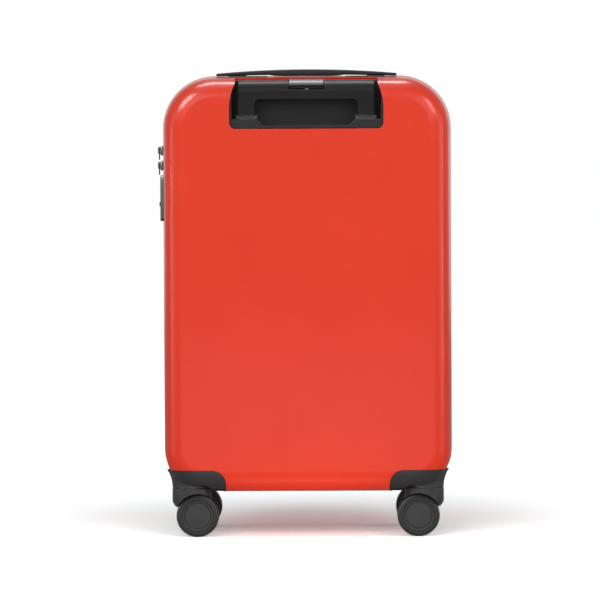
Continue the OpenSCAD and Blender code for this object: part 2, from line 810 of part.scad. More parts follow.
// Heights of the strap's top and of its underside at x
function strap_top(x) = carry_top - carry_rise * pow(2 * x / carry_l, 2);
function strap_low(x) = strap_foot + carry_hollow * (1 - pow(2 * x / carry_l, 2));

// Side view of what lies between x0 and x1, from one height down to another
module strap_side(x0, x1, high, low) {
    steps = 16;
    xs = [for (i = [0 : steps]) x0 + (x1 - x0) * i / steps];
    polygon(concat([for (x = xs) [x, high(x)]],
                   [for (i = [steps : -1 : 0]) [xs[i], low(xs[i])]]));
}

module carry_extrude(w) {
    translate([0, carry_y + w / 2, 0]) rotate([90, 0, 0]) linear_extrude(w) children();
}

// Each foot is a plate on the shell's top with a post up to the strap
module carry_feet() {
    plate_top = shell_top - 0.6;
    foot_z = shell_top - 8;
    outer_end = carry_post_x + post_l / 2;
    color(plastic_colour) mirrored_pair() difference() {
        union() {
            translate([outer_end - carry_foot_l, carry_y - carry_w / 2, foot_z])
                cube([carry_foot_l, carry_w, plate_top - foot_z]);
            carry_extrude(post_w)
                strap_side(outer_end - post_l, outer_end,
                           function (x) strap_low(x) - 0.1, function (x) foot_z);
        }
        half_block(0);
        carry_screw_places() translate([0, 0, foot_z]) cylinder(r = screw_r, h = screw_bore);
    }
}

module carry_strap_ends() {
    color(plastic_colour) mirrored_pair() carry_extrude(carry_w)
        strap_side(carry_grip_l / 2 + 0.15, carry_l / 2,
                   function (x) strap_top(x), function (x) strap_low(x));
}

module carry_grip() {
    color(plastic_colour) carry_extrude(carry_w)
        strap_side(0.15 - carry_grip_l / 2, carry_grip_l / 2 - 0.15, function (x) strap_top(x),
                   function (x) strap_low(x) - grip_belly * (1 - pow(2 * x / carry_grip_l, 2)));
}

// ---- Casters ----
// Each is drawn for the left rear corner, and mirrored to the other three.

module to_corner(right, front) {
    mirror([right ? 1 : 0, 0, 0]) mirror([0, front ? 1 : 0, 0]) children();
}

module caster_boss() {
    rotate_extrude() difference() {
        translate([0, boss_z]) square([fork_r + flare_w, flare_rise]);
        translate([fork_r + flare_arc_r, boss_z]) circle(flare_arc_r);
    }
}

// A corner cap that follows the shell outside, with a pocket underneath around a round boss
module caster_housing() {
    color(plastic_colour) difference() {
        intersection() {
            corner_notch(-seat_gap);
            union() {
                difference() {
                    half_block(-housing_proud);
                    translate([-swivel_x, -swivel_y, 0]) cylinder(r = pocket_r, h = pocket_z);
                    translate([-case_w, -case_d, 0])
                        cube([case_w - notch_x - housing_wall,
                              case_d - half_d + notch_d - housing_wall, skirt_top]);
                }
                translate([-swivel_x, -swivel_y, 0]) caster_boss();
            }
        }
        translate([-swivel_x, -swivel_y, 0]) cylinder(r = swivel_pin_r, h = pin_head);
        caster_screw_places()
            translate([0, 0, notch_z + shell_wall - caster_screw_l]) cylinder(r = screw_r, h = 20);
    }
}

module swivel_pin() {
    translate([-swivel_x, -swivel_y, pin_foot])
        cylinder(r = swivel_pin_r, h = pin_head - pin_foot);
}

module swivel_race() {
    translate([-swivel_x, -swivel_y, fork_top - race_seat]) difference() {
        cylinder(r = race_r, h = race_t);
        translate([0, 0, -over]) cylinder(r = swivel_pin_r, h = race_t + 2 * over);
    }
}

axle_x = -swivel_x + trail;
half_track = web_t / 2 + wheel_gap + wheel_w;

module at_axle(y0) { translate([axle_x, -swivel_y + y0, wheel_r]) rotate([-90, 0, 0]) children(); }

// The fork is a drum cut away over both wheels, with a web between them down to the axle
module fork() {
    color(plastic_colour) difference() {
        union() {
            difference() {
                translate([-swivel_x, -swivel_y, 0]) rotate_extrude() polygon([
                    [0, skirt_z], [fork_r - 4, skirt_z], [fork_r, skirt_z + 6],
                    [fork_r, fork_top - 0.8], [fork_r - 0.8, fork_top],
                    [race_r + free_gap, fork_top], [race_r + free_gap, fork_top - race_seat - 0.2],
                    [0, fork_top - race_seat - 0.2]
                ]);
                for (s = [-1, 1]) at_axle(s > 0 ? web_t / 2 : -web_t / 2 - fork_r)
                    cylinder(r = wheel_r + well_gap, h = fork_r);
            }
            at_axle(-web_t / 2) cylinder(r = web_w, h = web_t);
            translate([axle_x - web_w, -swivel_y - web_t / 2, wheel_r])
                cube([2 * web_w, web_t, skirt_z + 4 - wheel_r]);
        }
        at_axle(-web_t) cylinder(r = axle_r, h = 2 * web_t);
        translate([-swivel_x, -swivel_y, pin_foot - 1])
            cylinder(r = swivel_pin_r + pin_gap, h = fork_top);
    }
}

module axle() {
    color(metal_colour) at_axle(-half_track + axle_end)
        cylinder(r = axle_r, h = 2 * (half_track - axle_end));
}

// A wheel is a hub, dished inside a raised rim, with a soft tyre moulded onto it. The two of a
// caster mirror each other: side 0 is the one nearer to the case's face, side 1 the other.
module wheel(side) {
    rim_w = 1.6;
    dish = 1.4;
    translate([axle_x, -swivel_y, wheel_r]) mirror([0, side, 0])
        translate([0, -half_track, 0]) rotate([-90, 0, 0]) {
            color(plastic_colour) rotate_extrude() polygon([
                [0, dish], [hub_r - 2 * rim_w, dish], [hub_r - rim_w, 0.4], [hub_r, 0.4],
                [hub_r, wheel_w - 0.6], [axle_r + 3, wheel_w - 0.6], [axle_r + 3, wheel_w],
                [axle_r + pin_gap, wheel_w], [axle_r + pin_gap, axle_end - 0.1],
                [0, axle_end - 0.1]
            ]);
            color(plastic_colour) rotate_extrude() polygon([
                [hub_r, 0], [wheel_r - tyre_chamfer, 0], [wheel_r, tyre_chamfer],
                [wheel_r, wheel_w - tyre_chamfer], [wheel_r - tyre_chamfer, wheel_w],
                [hub_r, wheel_w]
            ]);
        }
}

module rear_left_housing() { to_corner(false, false) caster_housing(); }
module rear_right_housing() { to_corner(true, false) caster_housing(); }
module front_left_housing() { to_corner(false, true) caster_housing(); }
module front_right_housing() { to_corner(true, true) caster_housing(); }
module rear_left_fork() { to_corner(false, false) fork(); }
module rear_right_fork() { to_corner(true, false) fork(); }
module front_left_fork() { to_corner(false, true) fork(); }
module front_right_fork() { to_corner(true, true) fork(); }
module rear_left_axle() { to_corner(false, false) axle(); }
module rear_right_axle() { to_corner(true, false) axle(); }
module front_left_axle() { to_corner(false, true) axle(); }
module front_right_axle() { to_corner(true, true) axle(); }
module rear_left_wheel_a() { to_corner(false, false) wheel(0); }
module rear_right_wheel_a() { to_corner(true, false) wheel(0); }
module front_left_wheel_a() { to_corner(false, true) wheel(0); }
module front_right_wheel_a() { to_corner(true, true) wheel(0); }
module rear_left_wheel_b() { to_corner(false, false) wheel(1); }
module rear_right_wheel_b() { to_corner(true, false) wheel(1); }
module front_left_wheel_b() { to_corner(false, true) wheel(1); }
module front_right_wheel_b() { to_corner(true, true) wheel(1); }
module rear_swivel_pins() { color(metal_colour) mirrored_pair() swivel_pin(); }
module front_swivel_pins() { color(metal_colour) in_front() mirrored_pair() swivel_pin(); }
module rear_swivel_races() { color(metal_colour) mirrored_pair() swivel_race(); }
module front_swivel_races() { color(metal_colour) in_front() mirrored_pair() swivel_race(); }

module caster_screws() {
    mirrored_pair() caster_screw_places()
        translate([0, 0, notch_z + shell_wall - caster_screw_l]) screw(caster_screw_l);
}

// The same screw holds the casters, the tray and the feet of the carry handle
module back_screws() {
    tray_screw_l = shell_wall + 0.1 + flange_t - screw_cover;
    carry_screw_l = 4.2;
    carry_head_z = shell_top - (carry_inset_from_rim + carry_w / 2) * lean - shell_wall * slant;
    color(metal_colour) {
        caster_screws();
        tray_screw_places() screw(tray_screw_l);
        carry_screw_places() translate([0, 0, carry_head_z])
            mirror([0, 0, 1]) translate([0, 0, -carry_screw_l]) screw(carry_screw_l);
    }
}
carry_inset_from_rim = half_d - carry_inset - rim_d;

module front_screws() { color(metal_colour) in_front() caster_screws(); }

// ---- Inside ----

// Section of a lining's inside, set in by g, with its floor at depth d1
module lining_block(g, d0, d1) {
    side_x = -shell_wall - lining_gap - g;
    floor_x = side_x - (d1 - rim_d) * lean - 6;
    corner_r = 14;
    standing() {
        around() difference() {
            polygon([
                [-ring_w, d0], [side_x, d0], [floor_x + 4, d1 - corner_r],
                [floor_x - 6, d1 - g], [-ring_w, d1 - g]
            ]);
        }
        translate([0, 0, d0]) linear_extrude(d1 - g - d0) outline(ring_w - 1);
    }
}

// What the lining has to pass over: the caster pockets and, in the back half, the tray
module lining_bumps(g) {
    mirrored_pair() corner_notch(shell_wall + screw_head_h + 1 + g);
}

module tray_bump(g) {
    reach = flange_reach + 1 + g;
    translate([-tray_w / 2 - reach, face_y, tray_z - reach])
        cube([tray_w + 2 * reach, tray_d + flange_reach / 2 + 0.6 + g, shell_top]);
}

module lock_window() {
    translate([-lock_face, lock_y - lock_w / 2, lock_z - lock_l / 2])
        cube([lock_d + 6, lock_w, lock_l]);
}

module back_lining() {
    color(lining_colour) difference() {
        lining_block(0, rim_d + 2, back_floor_y);
        difference() {
            lining_block(lining_t, rim_d, back_floor_y);
            lining_bumps(lining_t);
            tray_bump(lining_t);
        }
        lining_bumps(0);
        tray_bump(0);
        lock_window();
    }
}

module front_lining() {
    color(lining_colour) in_front() difference() {
        lining_block(0, rim_d + 2, front_floor_y);
        difference() {
            lining_block(lining_t, rim_d, front_floor_y);
            lining_bumps(lining_t);
        }
        lining_bumps(0);
    }
}

pack_strap_y = -(back_floor_y - lining_t - 0.3 - pack_strap_t);

module packing_straps() {
    strap_l = case_w - 2 * strap_margin;
    color(fabric_colour) for (z = [lower_strap_z, upper_strap_z])
        translate([-strap_l / 2, pack_strap_y - pack_strap_t, z - pack_strap_w / 2])
            cube([strap_l, pack_strap_t, pack_strap_w]);
}

module strap_buckles() {
    color(plastic_colour) for (z = [lower_strap_z, upper_strap_z])
        translate([0, pack_strap_y, z]) rotate([-90, 0, 0]) linear_extrude(buckle_t)
            rounded(buckle_w, buckle_h, 4);
}

back_shell();
back_lining();
back_zip_tape();
back_zip_teeth();
front_shell();
front_lining();
front_zip_tape();
front_zip_teeth();
pull_handle_tray();
outer_tubes();
tube_foot();
middle_tubes();
middle_tube_bushes();
inner_tubes();
inner_tube_bushes();
pull_grip();
grip_button();
button_spring();
push_rods();
tube_lock_pins();
carry_feet();
carry_strap_ends();
carry_grip();
lock_body();
lock_dial_1();
lock_dial_2();
lock_dial_3();
lock_release();
zip_slider_upper();
zip_slider_lower();
zip_tab_upper();
zip_tab_lower();
rear_left_housing();
rear_right_housing();
front_left_housing();
front_right_housing();
rear_swivel_pins();
front_swivel_pins();
rear_swivel_races();
front_swivel_races();
rear_left_fork();
rear_right_fork();
front_left_fork();
front_right_fork();
rear_left_axle();
rear_right_axle();
front_left_axle();
front_right_axle();
rear_left_wheel_a();
rear_right_wheel_a();
front_left_wheel_a();
front_right_wheel_a();
rear_left_wheel_b();
rear_right_wheel_b();
front_left_wheel_b();
front_right_wheel_b();
back_screws();
front_screws();
packing_straps();
strap_buckles();
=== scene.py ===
import math

import bmesh
import bpy
from mathutils import Matrix, Vector


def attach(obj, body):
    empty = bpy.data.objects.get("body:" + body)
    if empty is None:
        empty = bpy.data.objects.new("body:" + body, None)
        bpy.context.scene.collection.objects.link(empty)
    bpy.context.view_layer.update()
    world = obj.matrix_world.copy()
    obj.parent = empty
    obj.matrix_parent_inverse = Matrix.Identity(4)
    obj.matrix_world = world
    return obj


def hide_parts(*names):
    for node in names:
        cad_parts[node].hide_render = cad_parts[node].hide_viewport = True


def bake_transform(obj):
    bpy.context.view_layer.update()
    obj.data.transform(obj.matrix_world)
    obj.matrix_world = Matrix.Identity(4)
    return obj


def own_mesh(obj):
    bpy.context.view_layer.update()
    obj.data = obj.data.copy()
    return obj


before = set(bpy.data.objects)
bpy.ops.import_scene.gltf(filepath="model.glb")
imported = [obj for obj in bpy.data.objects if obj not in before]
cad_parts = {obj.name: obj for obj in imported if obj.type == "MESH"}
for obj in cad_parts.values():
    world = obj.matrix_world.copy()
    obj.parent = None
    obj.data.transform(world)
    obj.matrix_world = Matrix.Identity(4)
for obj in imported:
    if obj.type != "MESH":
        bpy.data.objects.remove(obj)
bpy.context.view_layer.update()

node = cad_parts

# ---- Studio ----
# White paper lies on the floor, and everything behind is white. Softboxes in front and above light
# the case plainly, with fills at its sides, behind it and below. Five more lamps show only as
# reflections, on the rounded corners and edges.

room_light = 0.16
paper_colour, paper_colour_seen = (0.86, 0.86, 0.86, 1.0), (1.80, 1.98, 1.98, 1.0)
white = (1.0, 1.0, 1.0, 1.0)


def feed(coat, step, inputs):
    """Gives a step of a finish its inputs: outputs of other steps, or constants."""
    for key, value in inputs.items():
        if isinstance(value, bpy.types.NodeSocket):
            coat.links.new(value, step.inputs[key])
        else:
            step.inputs[key].default_value = value


def add_step(coat, kind, inputs=None, **settings):
    """Adds a step to a finish, with its settings and inputs, and gives back its outputs."""
    step = coat.nodes.new("ShaderNode" + kind)
    for name, value in settings.items():
        setattr(step, name, value)
    feed(coat, step, inputs or {})
    return step.outputs


def reckon(coat, operation, *values):
    """A sum of outputs of steps and constants."""
    return add_step(coat, "Math", dict(enumerate(values)), operation=operation)[0]


def new_finish(name):
    """A new finish, its steps, and the surface that they end in."""
    skin = bpy.data.materials.new(name)
    skin.use_nodes = True
    return skin, skin.node_tree, skin.node_tree.nodes["Principled BSDF"]


def as_object(bm, name):
    """Makes a piece of a bmesh, which is used up."""
    made = bpy.data.meshes.new(name)
    bm.to_mesh(made)
    bm.free()
    piece = bpy.data.objects.new(name, made)
    bpy.context.scene.collection.objects.link(piece)
    return piece


world = bpy.data.worlds.new("studio")
bpy.context.scene.world = world
world.use_nodes = True
room = world.node_tree
ray = add_step(room, "LightPath")
seen = reckon(room, "MAXIMUM", ray["Is Camera Ray"], ray["Is Glossy Ray"])
seen = reckon(room, "MAXIMUM", seen, ray["Is Transmission Ray"])
strength = reckon(room, "MULTIPLY_ADD", seen, 1.0 - room_light, room_light)
feed(room, room.nodes["Background"], {"Color": white, "Strength": strength})

sheet = bmesh.new()
bmesh.ops.create_grid(sheet, x_segments=1, y_segments=1, size=8.0)
paper = as_object(sheet, "paper_floor")
paper_skin, coat, surface = new_finish("paper_white")
feed(coat, surface, {"Base Color": paper_colour, "Roughness": 0.9, "Specular IOR Level": 0.1})
by_camera = add_step(coat, "LightPath")["Is Camera Ray"]
paper_seen = add_step(coat, "BsdfDiffuse", {"Color": paper_colour_seen})[0]
paper_seen = add_step(coat, "MixShader", {0: by_camera, 1: surface.outputs[0], 2: paper_seen})[0]
# Seen by the camera, the floor glows more the further it lies from a point just behind the case.
# Close round the case the glow is left out, which paints a patch of shade there, on top of the
# case's real shadow.
spread = add_step(coat, "Mapping", {"Vector": add_step(coat, "TexCoord")["Object"],
                                    "Location": (0.0, -0.75, 0.0), "Scale": (3.4, 3.0, 1.0)})
far = add_step(coat, "VectorMath", {0: spread["Vector"]}, operation="LENGTH")["Value"]
glow_past_painted_shade = add_step(coat, "MapRange", {"Value": far, "From Min": 0.25, "From Max": 2.6,
                                   "To Max": 0.88})["Result"]
glow = add_step(coat, "Emission", {"Color": white,
                                   "Strength": reckon(coat, "MULTIPLY", glow_past_painted_shade, by_camera)})[0]
paper_seen = add_step(coat, "AddShader", {0: paper_seen, 1: glow})[0]
feed(coat, coat.nodes["Material Output"], {"Surface": paper_seen})
paper.data.materials.append(paper_skin)


def hang_lamp(name, place, aim, width, height, watts, hidden_from=()):
    """A softbox in a place, turned to its aim, and not seen by the kinds of rays that are named."""
    lamp_data = bpy.data.lights.new(name, "AREA")
    lamp_data.shape = "RECTANGLE"
    lamp_data.size, lamp_data.size_y = width, height
    lamp_data.energy = watts
    lamp = bpy.data.objects.new(name, lamp_data)
    bpy.context.scene.collection.objects.link(lamp)
    lamp.location = place
    lamp.rotation_euler = (Vector(aim) - Vector(place)).to_track_quat("-Z", "Y").to_euler()
    for rays in hidden_from:
        setattr(lamp, "visible_" + rays, False)
    return lamp


hang_lamp("key_softbox", (-1.0, -3.3, 1.7), (0.0, 0.0, 0.25), 1.8, 1.6, 33.0)
hang_lamp("right_softbox", (1.3, -3.1, 1.5), (0.0, 0.0, 0.25), 1.6, 1.6, 24.0)
hang_lamp("top_softbox", (-0.2, -0.8, 2.6), (0.0, 0.0, 0.3), 1.5, 1.0, 6.0)
hang_lamp("left_fill", (-2.6, -0.9, 0.7), (0.0, 0.0, 0.3), 1.2, 1.4, 8.0)
hang_lamp("right_fill", (2.6, -0.9, 0.7), (0.0, 0.0, 0.3), 1.2, 1.4, 10.0)
back_fill = hang_lamp("back_fill", (0.3, 3.2, 0.5), (0.0, 0.1, 0.35), 1.8, 0.8, 26.0,
                      ("camera", "glossy"))
hang_lamp("low_bounce", (0.0, -1.1, 0.02), (0.0, -0.1, 0.10), 1.4, 0.3, 2.4, ("camera",))
hang_lamp("lip_bounce", (0.0, -0.155, 0.004), (0.0, -0.155, 1.0), 0.17, 0.05, 0.035, ("camera",))

# The fill from behind leaves the floor alone, so that the shadow stays there.
shaded_floor = bpy.data.collections.new("not_lit_from_behind")
shaded_floor.objects.link(paper)
shaded_floor.collection_objects[0].light_linking.link_state = "EXCLUDE"
back_fill.light_linking.receiver_collection = shaded_floor

for name, place, width, height, watts in (
        ("left_corner_glint", (-1.60, -1.56, 1.95), 0.9, 0.9, 88.0),
        ("right_corner_glint", (1.70, -1.56, 1.60), 0.7, 0.9, 32.0),
        ("top_glint", (-0.2, 0.3, 2.8), 1.6, 0.6, 85.0),
        ("left_glint", (-2.5, -0.45, 0.31), 0.3, 0.56, 4.0),
        ("right_glint", (2.5, -0.45, 0.31), 0.3, 0.56, 4.0)):
    hang_lamp(name, place, (0.0, -0.1, 0.4), width, height, watts, ("camera", "diffuse"))

camera_data = bpy.data.cameras.new("camera")
camera_data.sensor_width = 36.0
camera_data.lens = 307.6
camera_data.shift_x = -0.0155
camera_data.clip_end = 60.0
camera = bpy.data.objects.new("camera", camera_data)
bpy.context.scene.collection.objects.link(camera)
camera.location = (0.0445, -6.110, 0.4587)
camera.rotation_euler = (math.radians(90.0 - 1.713), 0.0, math.radians(0.4))
camera.rotation_euler.rotate_axis("Z", math.radians(-0.26))
bpy.context.scene.camera = camera
bpy.context.scene.view_settings.view_transform = "Standard"

# ---- Back shell ----
# One moulding of pebbled polypropylene, 2.5 mm thick. Its edge turns in round the recess for the
# pull handle and round the two corners that the casters' housings fill.

case_half_w = 0.171
case_bottom, case_top = 0.050, 0.543
top_round, bottom_round = 0.062, 0.050
side_tall = case_top - case_bottom - top_round - bottom_round
rim_y, face_y = 0.014, 0.110
edge_round = 0.024
side_lean = math.tan(math.radians(3.0))
shell_wall, shell_rim_round = 0.0025, 0.0007
notch_x, notch_z, notch_d, notch_round = 0.096, 0.0795, 0.072, 0.0165
notch_lip_round, recess_lip_round = 0.0022, 0.0025
recess_half_w, recess_low, recess_back_y, recess_round = 0.0904, 0.478, 0.0758, 0.007
recess_mouth = [(0.0835, 0.7), (0.0835, 0.5335), (0.0850, 0.5300), (0.0870, 0.5245),
                (0.0885, 0.5190), (0.0896, 0.5130), (0.0902, 0.5060)]


def side_line(grow=0.0):
    """The case's side from its rim to the flat face, as (outwards from the rim, depth)."""
    mid_y = face_y - edge_round
    mid_u = -edge_round * math.hypot(1.0, side_lean) - side_lean * (mid_y - rim_y)
    r = edge_round + grow
    line = [(grow, rim_y)]
    for i in range(13):
        a = math.radians(3.0 + 87.0 * i / 12)
        line.append((mid_u + r * math.cos(a), mid_y + r * math.sin(a)))
    return line


def points_of(geom):
    """The points among what an operator gives back."""
    return [g for g in geom if isinstance(g, bmesh.types.BMVert)]


def edges_of(geom):
    """The edges among what an operator gives back."""
    return [g for g in geom if isinstance(g, bmesh.types.BMEdge)]


def weld(bm, reach=5e-6):
    """Joins points that lie on top of each other."""
    bmesh.ops.remove_doubles(bm, verts=bm.verts[:], dist=reach)


def turn_outwards(bm):
    """Turns every face of a form to face out."""
    bmesh.ops.recalc_face_normals(bm, faces=bm.faces[:])


def close_up(bm):
    """Fills the open ends of a form."""
    bmesh.ops.holes_fill(bm, edges=[e for e in bm.edges if e.is_boundary], sides=0)
    turn_outwards(bm)


def sweep_round_case(bm, line, hinge_side=True, side=-1.0):
    """Runs a section (outwards, depth) round the case's outline. side -1 is the back half."""
    verts = [bm.verts.new((case_half_w + u, side * d, case_top - top_round)) for u, d in line]
    run = verts + [bm.edges.new(pair) for pair in zip(verts, verts[1:])]

    def round_corner(run, x, z):
        return bmesh.ops.spin(bm, geom=run, cent=(x, 0.0, z), axis=(0.0, -1.0, 0.0),
                              angle=math.pi / 2, steps=14)["geom_last"]

    def run_straight(run, move):
        grown = bmesh.ops.extrude_edge_only(bm, edges=edges_of(run))["geom"]
        run = [g for g in grown if not isinstance(g, bmesh.types.BMFace)]
        bmesh.ops.translate(bm, verts=points_of(run), vec=move)
        return run

    run = round_corner(run, case_half_w - top_round, case_top - top_round)
    run = run_straight(run, (-2 * (case_half_w - top_round), 0, 0))
    run = round_corner(run, top_round - case_half_w, case_top - top_round)
    run = run_straight(run, (0, 0, -side_tall))
    run = round_corner(run, bottom_round - case_half_w, case_bottom + bottom_round)
    run = run_straight(run, (2 * (case_half_w - bottom_round), 0, 0))
    run = round_corner(run, case_half_w - bottom_round, case_bottom + bottom_round)
    if hinge_side:
        run_straight(run, (0, 0, side_tall))
        weld(bm, 2e-6)


def block_inside(line, side):
    """The closed block that a section encloses as it runs round the case."""
    block = bmesh.new()
    sweep_round_case(block, line, side=side)
    close_up(block)
    return block


def case_block(grow=0.0, side=-1.0):
    """Half of the case as a closed block, grown by so much."""
    return block_inside(side_line(grow), side)


def carve(bm, cutters, operation="DIFFERENCE"):
    """Cuts (or joins, or keeps the overlap of) closed bmeshes with a Boolean modifier."""
    body = as_object(bm, "carved")
    tools = [as_object(c, "cutter") for c in cutters]
    for t in tools:
        m = body.modifiers.new("carve", "BOOLEAN")
        m.operation = operation
        m.solver = "EXACT"
        m.object = t
    bpy.context.view_layer.update()
    out = bmesh.new()
    out.from_object(body, bpy.context.evaluated_depsgraph_get())
    for o in [body] + tools:
        mesh = o.data
        bpy.data.objects.remove(o)
        bpy.data.meshes.remove(mesh)
    return out


def block_of(low, high):
    """A closed box between two corners."""
    cube = bmesh.new()
    bmesh.ops.create_cube(cube, size=1.0)
    low, high = Vector(low), Vector(high)
    bmesh.ops.scale(cube, vec=high - low, verts=cube.verts[:])
    bmesh.ops.translate(cube, vec=(high + low) / 2, verts=cube.verts[:])
    return cube


def prism(outline, low, high, axis):
    """A closed bar of constant outline, given as (x, z) along Y or as (y, z) along X."""
    bar = bmesh.new()
    if axis == "Y":
        ring = [bar.verts.new((a, low, b)) for a, b in outline]
        move = (0.0, high - low, 0.0)
    else:
        ring = [bar.verts.new((low, a, b)) for a, b in outline]
        move = (high - low, 0.0, 0.0)
    face = bar.faces.new(ring)
    grown = bmesh.ops.extrude_face_region(bar, geom=[face], use_keep_orig=True)["geom"]
    bmesh.ops.translate(bar, vec=move, verts=points_of(grown))
    turn_outwards(bar)
    return bar


def turned_corner(x, z, r, start, steps=6):
    """Points of a quarter turn about (x, z), from an angle in degrees on."""
    return [(x + r * math.cos(math.radians(start + 90.0 * i / steps)),
             z + r * math.sin(math.radians(start + 90.0 * i / steps))) for i in range(steps + 1)]


def round_edges(bm, picked, width, segments):
    """Rounds the picked edges by a width."""
    return bmesh.ops.bevel(bm, geom=picked, offset=width, offset_type="OFFSET", segments=segments,
                           profile=0.5, affect="EDGES", material=-1, clamp_overlap=True)


def outer_edges(bm, degrees):
    """The outer edges of a closed form at which it turns by more than an angle."""
    return [e for e in bm.edges if len(e.link_faces) == 2 and e.is_convex
            and e.calc_face_angle(0.0) > math.radians(degrees)]


def corner_notch(right, side, grow=0.0):
    """The corner that a caster's housing takes from a half of the case."""
    sx = 1.0 if right else -1.0
    cut = block_of((notch_x - grow, face_y - notch_d - grow, -0.1), (0.3, 0.3, notch_z + grow))
    picked = [e for e in cut.edges
              if all(abs(v.co.z - notch_z - grow) < 1e-6 for v in e.verts)
              and (all(v.co.x < 0.2 for v in e.verts) or all(v.co.y < 0.2 for v in e.verts))]
    round_edges(cut, picked, notch_round + grow, 10)
    bmesh.ops.scale(cut, vec=(sx, side, 1.0), verts=cut.verts[:])
    turn_outwards(cut)
    return cut


def smooth_shade(piece, degrees):
    """Shades a piece smooth, and leaves edges sharp from an angle on."""
    for p in piece.data.polygons:
        p.use_smooth = True
    piece.data.set_sharp_from_angle(angle=math.radians(degrees))


def ease_edges(piece, width, segments, degrees):
    """Rounds the edges that are sharper than an angle, all to one width."""
    ease = piece.modifiers.new("eased_edges", "BEVEL")
    ease.width, ease.segments, ease.limit_method = width, segments, "ANGLE"
    ease.angle_limit = math.radians(degrees)


def give_wall(piece, thickness):
    """Turns a piece's surface into a wall, inwards."""
    wall = piece.modifiers.new("wall", "SOLIDIFY")
    wall.thickness, wall.offset = thickness, -1.0
    return wall


def shell_half(name, side, recess):
    """A shell cut out for the casters' housings, and for the pull handle if it has the recess."""
    cutters = [corner_notch(right, side) for right in (False, True)]
    if recess:
        low_x, low_z = 0.0832, 0.4868
        cutters.append(prism([(-x, z) for x, z in recess_mouth]
                             + turned_corner(-low_x, low_z, recess_round, 180.0)
                             + turned_corner(low_x, low_z, recess_round, 270.0)
                             + recess_mouth[::-1], -0.2, -recess_back_y, "Y"))
    half = carve(case_block(side=side), cutters)
    weld(half)
    bmesh.ops.dissolve_degenerate(half, edges=half.edges[:], dist=5e-6)

    def depth(v):
        return side * v.co.y

    def in_recess(v):
        return abs(v.co.x) < recess_half_w and v.co.z > recess_low

    def in_notch(v):
        return abs(v.co.x) > notch_x - 1e-4 and v.co.z < notch_z + 1e-4 and depth(v) > 0.03

    round_edges(half, [e for e in outer_edges(half, 50) if all(in_notch(v) for v in e.verts)],
                notch_lip_round, 3)
    gone = []
    if recess:
        round_edges(half, [e for e in outer_edges(half, 50)
                           if all(in_recess(v) and depth(v) > recess_back_y - 0.0002
                                  for v in e.verts)], recess_lip_round, 4)
        gone = [f for f in half.faces if all(in_recess(v) for v in f.verts)
                and any(depth(v) < recess_back_y + 0.0007 and v.co.z < 0.53 for v in f.verts)]
    gone += [f for f in half.faces if all(abs(depth(v) - rim_y) < 1e-5 for v in f.verts)]
    bmesh.ops.delete(half, geom=gone, context="FACES")
    turn_outwards(half)
    piece = as_object(half, name)
    give_wall(piece, shell_wall).use_even_offset = True
    ease_edges(piece, shell_rim_round, 2, 55)
    piece.modifiers.new("flat_faces", "WEIGHTED_NORMAL").keep_sharp = True
    smooth_shade(piece, 40)
    return piece


def mottle(coat, place, scale, detail=2.0):
    """An uneven pattern of soft spots."""
    return add_step(coat, "TexNoise", {"Vector": place, "Scale": scale, "Detail": detail})[0]


def two_tones(coat, pattern, low, high, low_at=0.3, high_at=0.7):
    """A colour that follows a pattern from one tone to the other."""
    ramp = coat.nodes.new("ShaderNodeValToRGB")
    ends = ramp.color_ramp.elements
    ends[0].position, ends[0].color = low_at, (*low, 1.0)
    ends[1].position, ends[1].color = high_at, (*high, 1.0)
    coat.links.new(pattern, ramp.inputs["Fac"])
    return ramp.outputs["Color"]


def uneven_polish(coat, pattern, low, high):
    """Lets the roughness follow a pattern, between two values."""
    return add_step(coat, "MapRange", {"Value": pattern, "To Min": low, "To Max": high})["Result"]


def relief(coat, height, strength, distance):
    """Raises a finish where a pattern is high, by up to a distance in metres."""
    return add_step(coat, "Bump", {"Height": height, "Strength": strength,
                                   "Distance": distance})["Normal"]


shell_skin, coat, surface = new_finish("red_pebbled_shell")
place = add_step(coat, "TexCoord")["Object"]
pebble = add_step(coat, "TexVoronoi", {"Vector": place, "Scale": 620.0})["Distance"]
pebbled = relief(coat, reckon(coat, "MULTIPLY_ADD", pebble, 0.6, mottle(coat, place, 900.0)),
                 0.35, 0.0002)
feed(coat, surface, {
    "Base Color": two_tones(coat, mottle(coat, place, 9.0, 3.0),
                            (0.800, 0.042, 0.015), (0.840, 0.047, 0.018)),
    "Roughness": uneven_polish(coat, mottle(coat, place, 40.0, 4.0), 0.32, 0.41),
    "Specular IOR Level": 0.1, "Coat Weight": 0.24, "Coat Roughness": 0.16,
    "Normal": pebbled, "Coat Normal": pebbled})

back_shell = shell_half("back_shell_moulding", -1.0, True)
back_shell.data.materials.append(shell_skin)
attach(back_shell, "back_half")
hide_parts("back_shell")

# ---- Front shell ----
# The same polypropylene moulding without the recess, so that its whole face is plain. Its rim
# meets the zip as the back shell's does.

front_shell = shell_half("front_shell_moulding", 1.0, False)
front_shell.data.materials.append(shell_skin)
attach(front_shell, "front_half")
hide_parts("front_shell")

# ---- Linings ----
# Thin quilted polyester glued into each half, cut round the caster pockets and the handle's tray.
# A hemmed edge ends it just inside the rim.

lining_rim, lining_wall = 0.016, 0.0012
back_floor, front_floor = 0.0845, 0.105


def lining_line(floor):
    """Section of a lining's outside: up from its hem, round its foot, to the floor."""
    side_u = -0.0047
    foot_u = side_u - (floor - rim_y) * side_lean - 0.006
    line = [(side_u, lining_rim)]
    up = Vector((foot_u + 0.004, floor - 0.014))
    across = Vector((foot_u - 0.006, floor))
    corner = Vector((foot_u + 0.002, floor - 0.001))
    for i in range(9):
        t = i / 8
        line.append(tuple((1 - t) ** 2 * up + 2 * t * (1 - t) * corner + t * t * across))
    return line


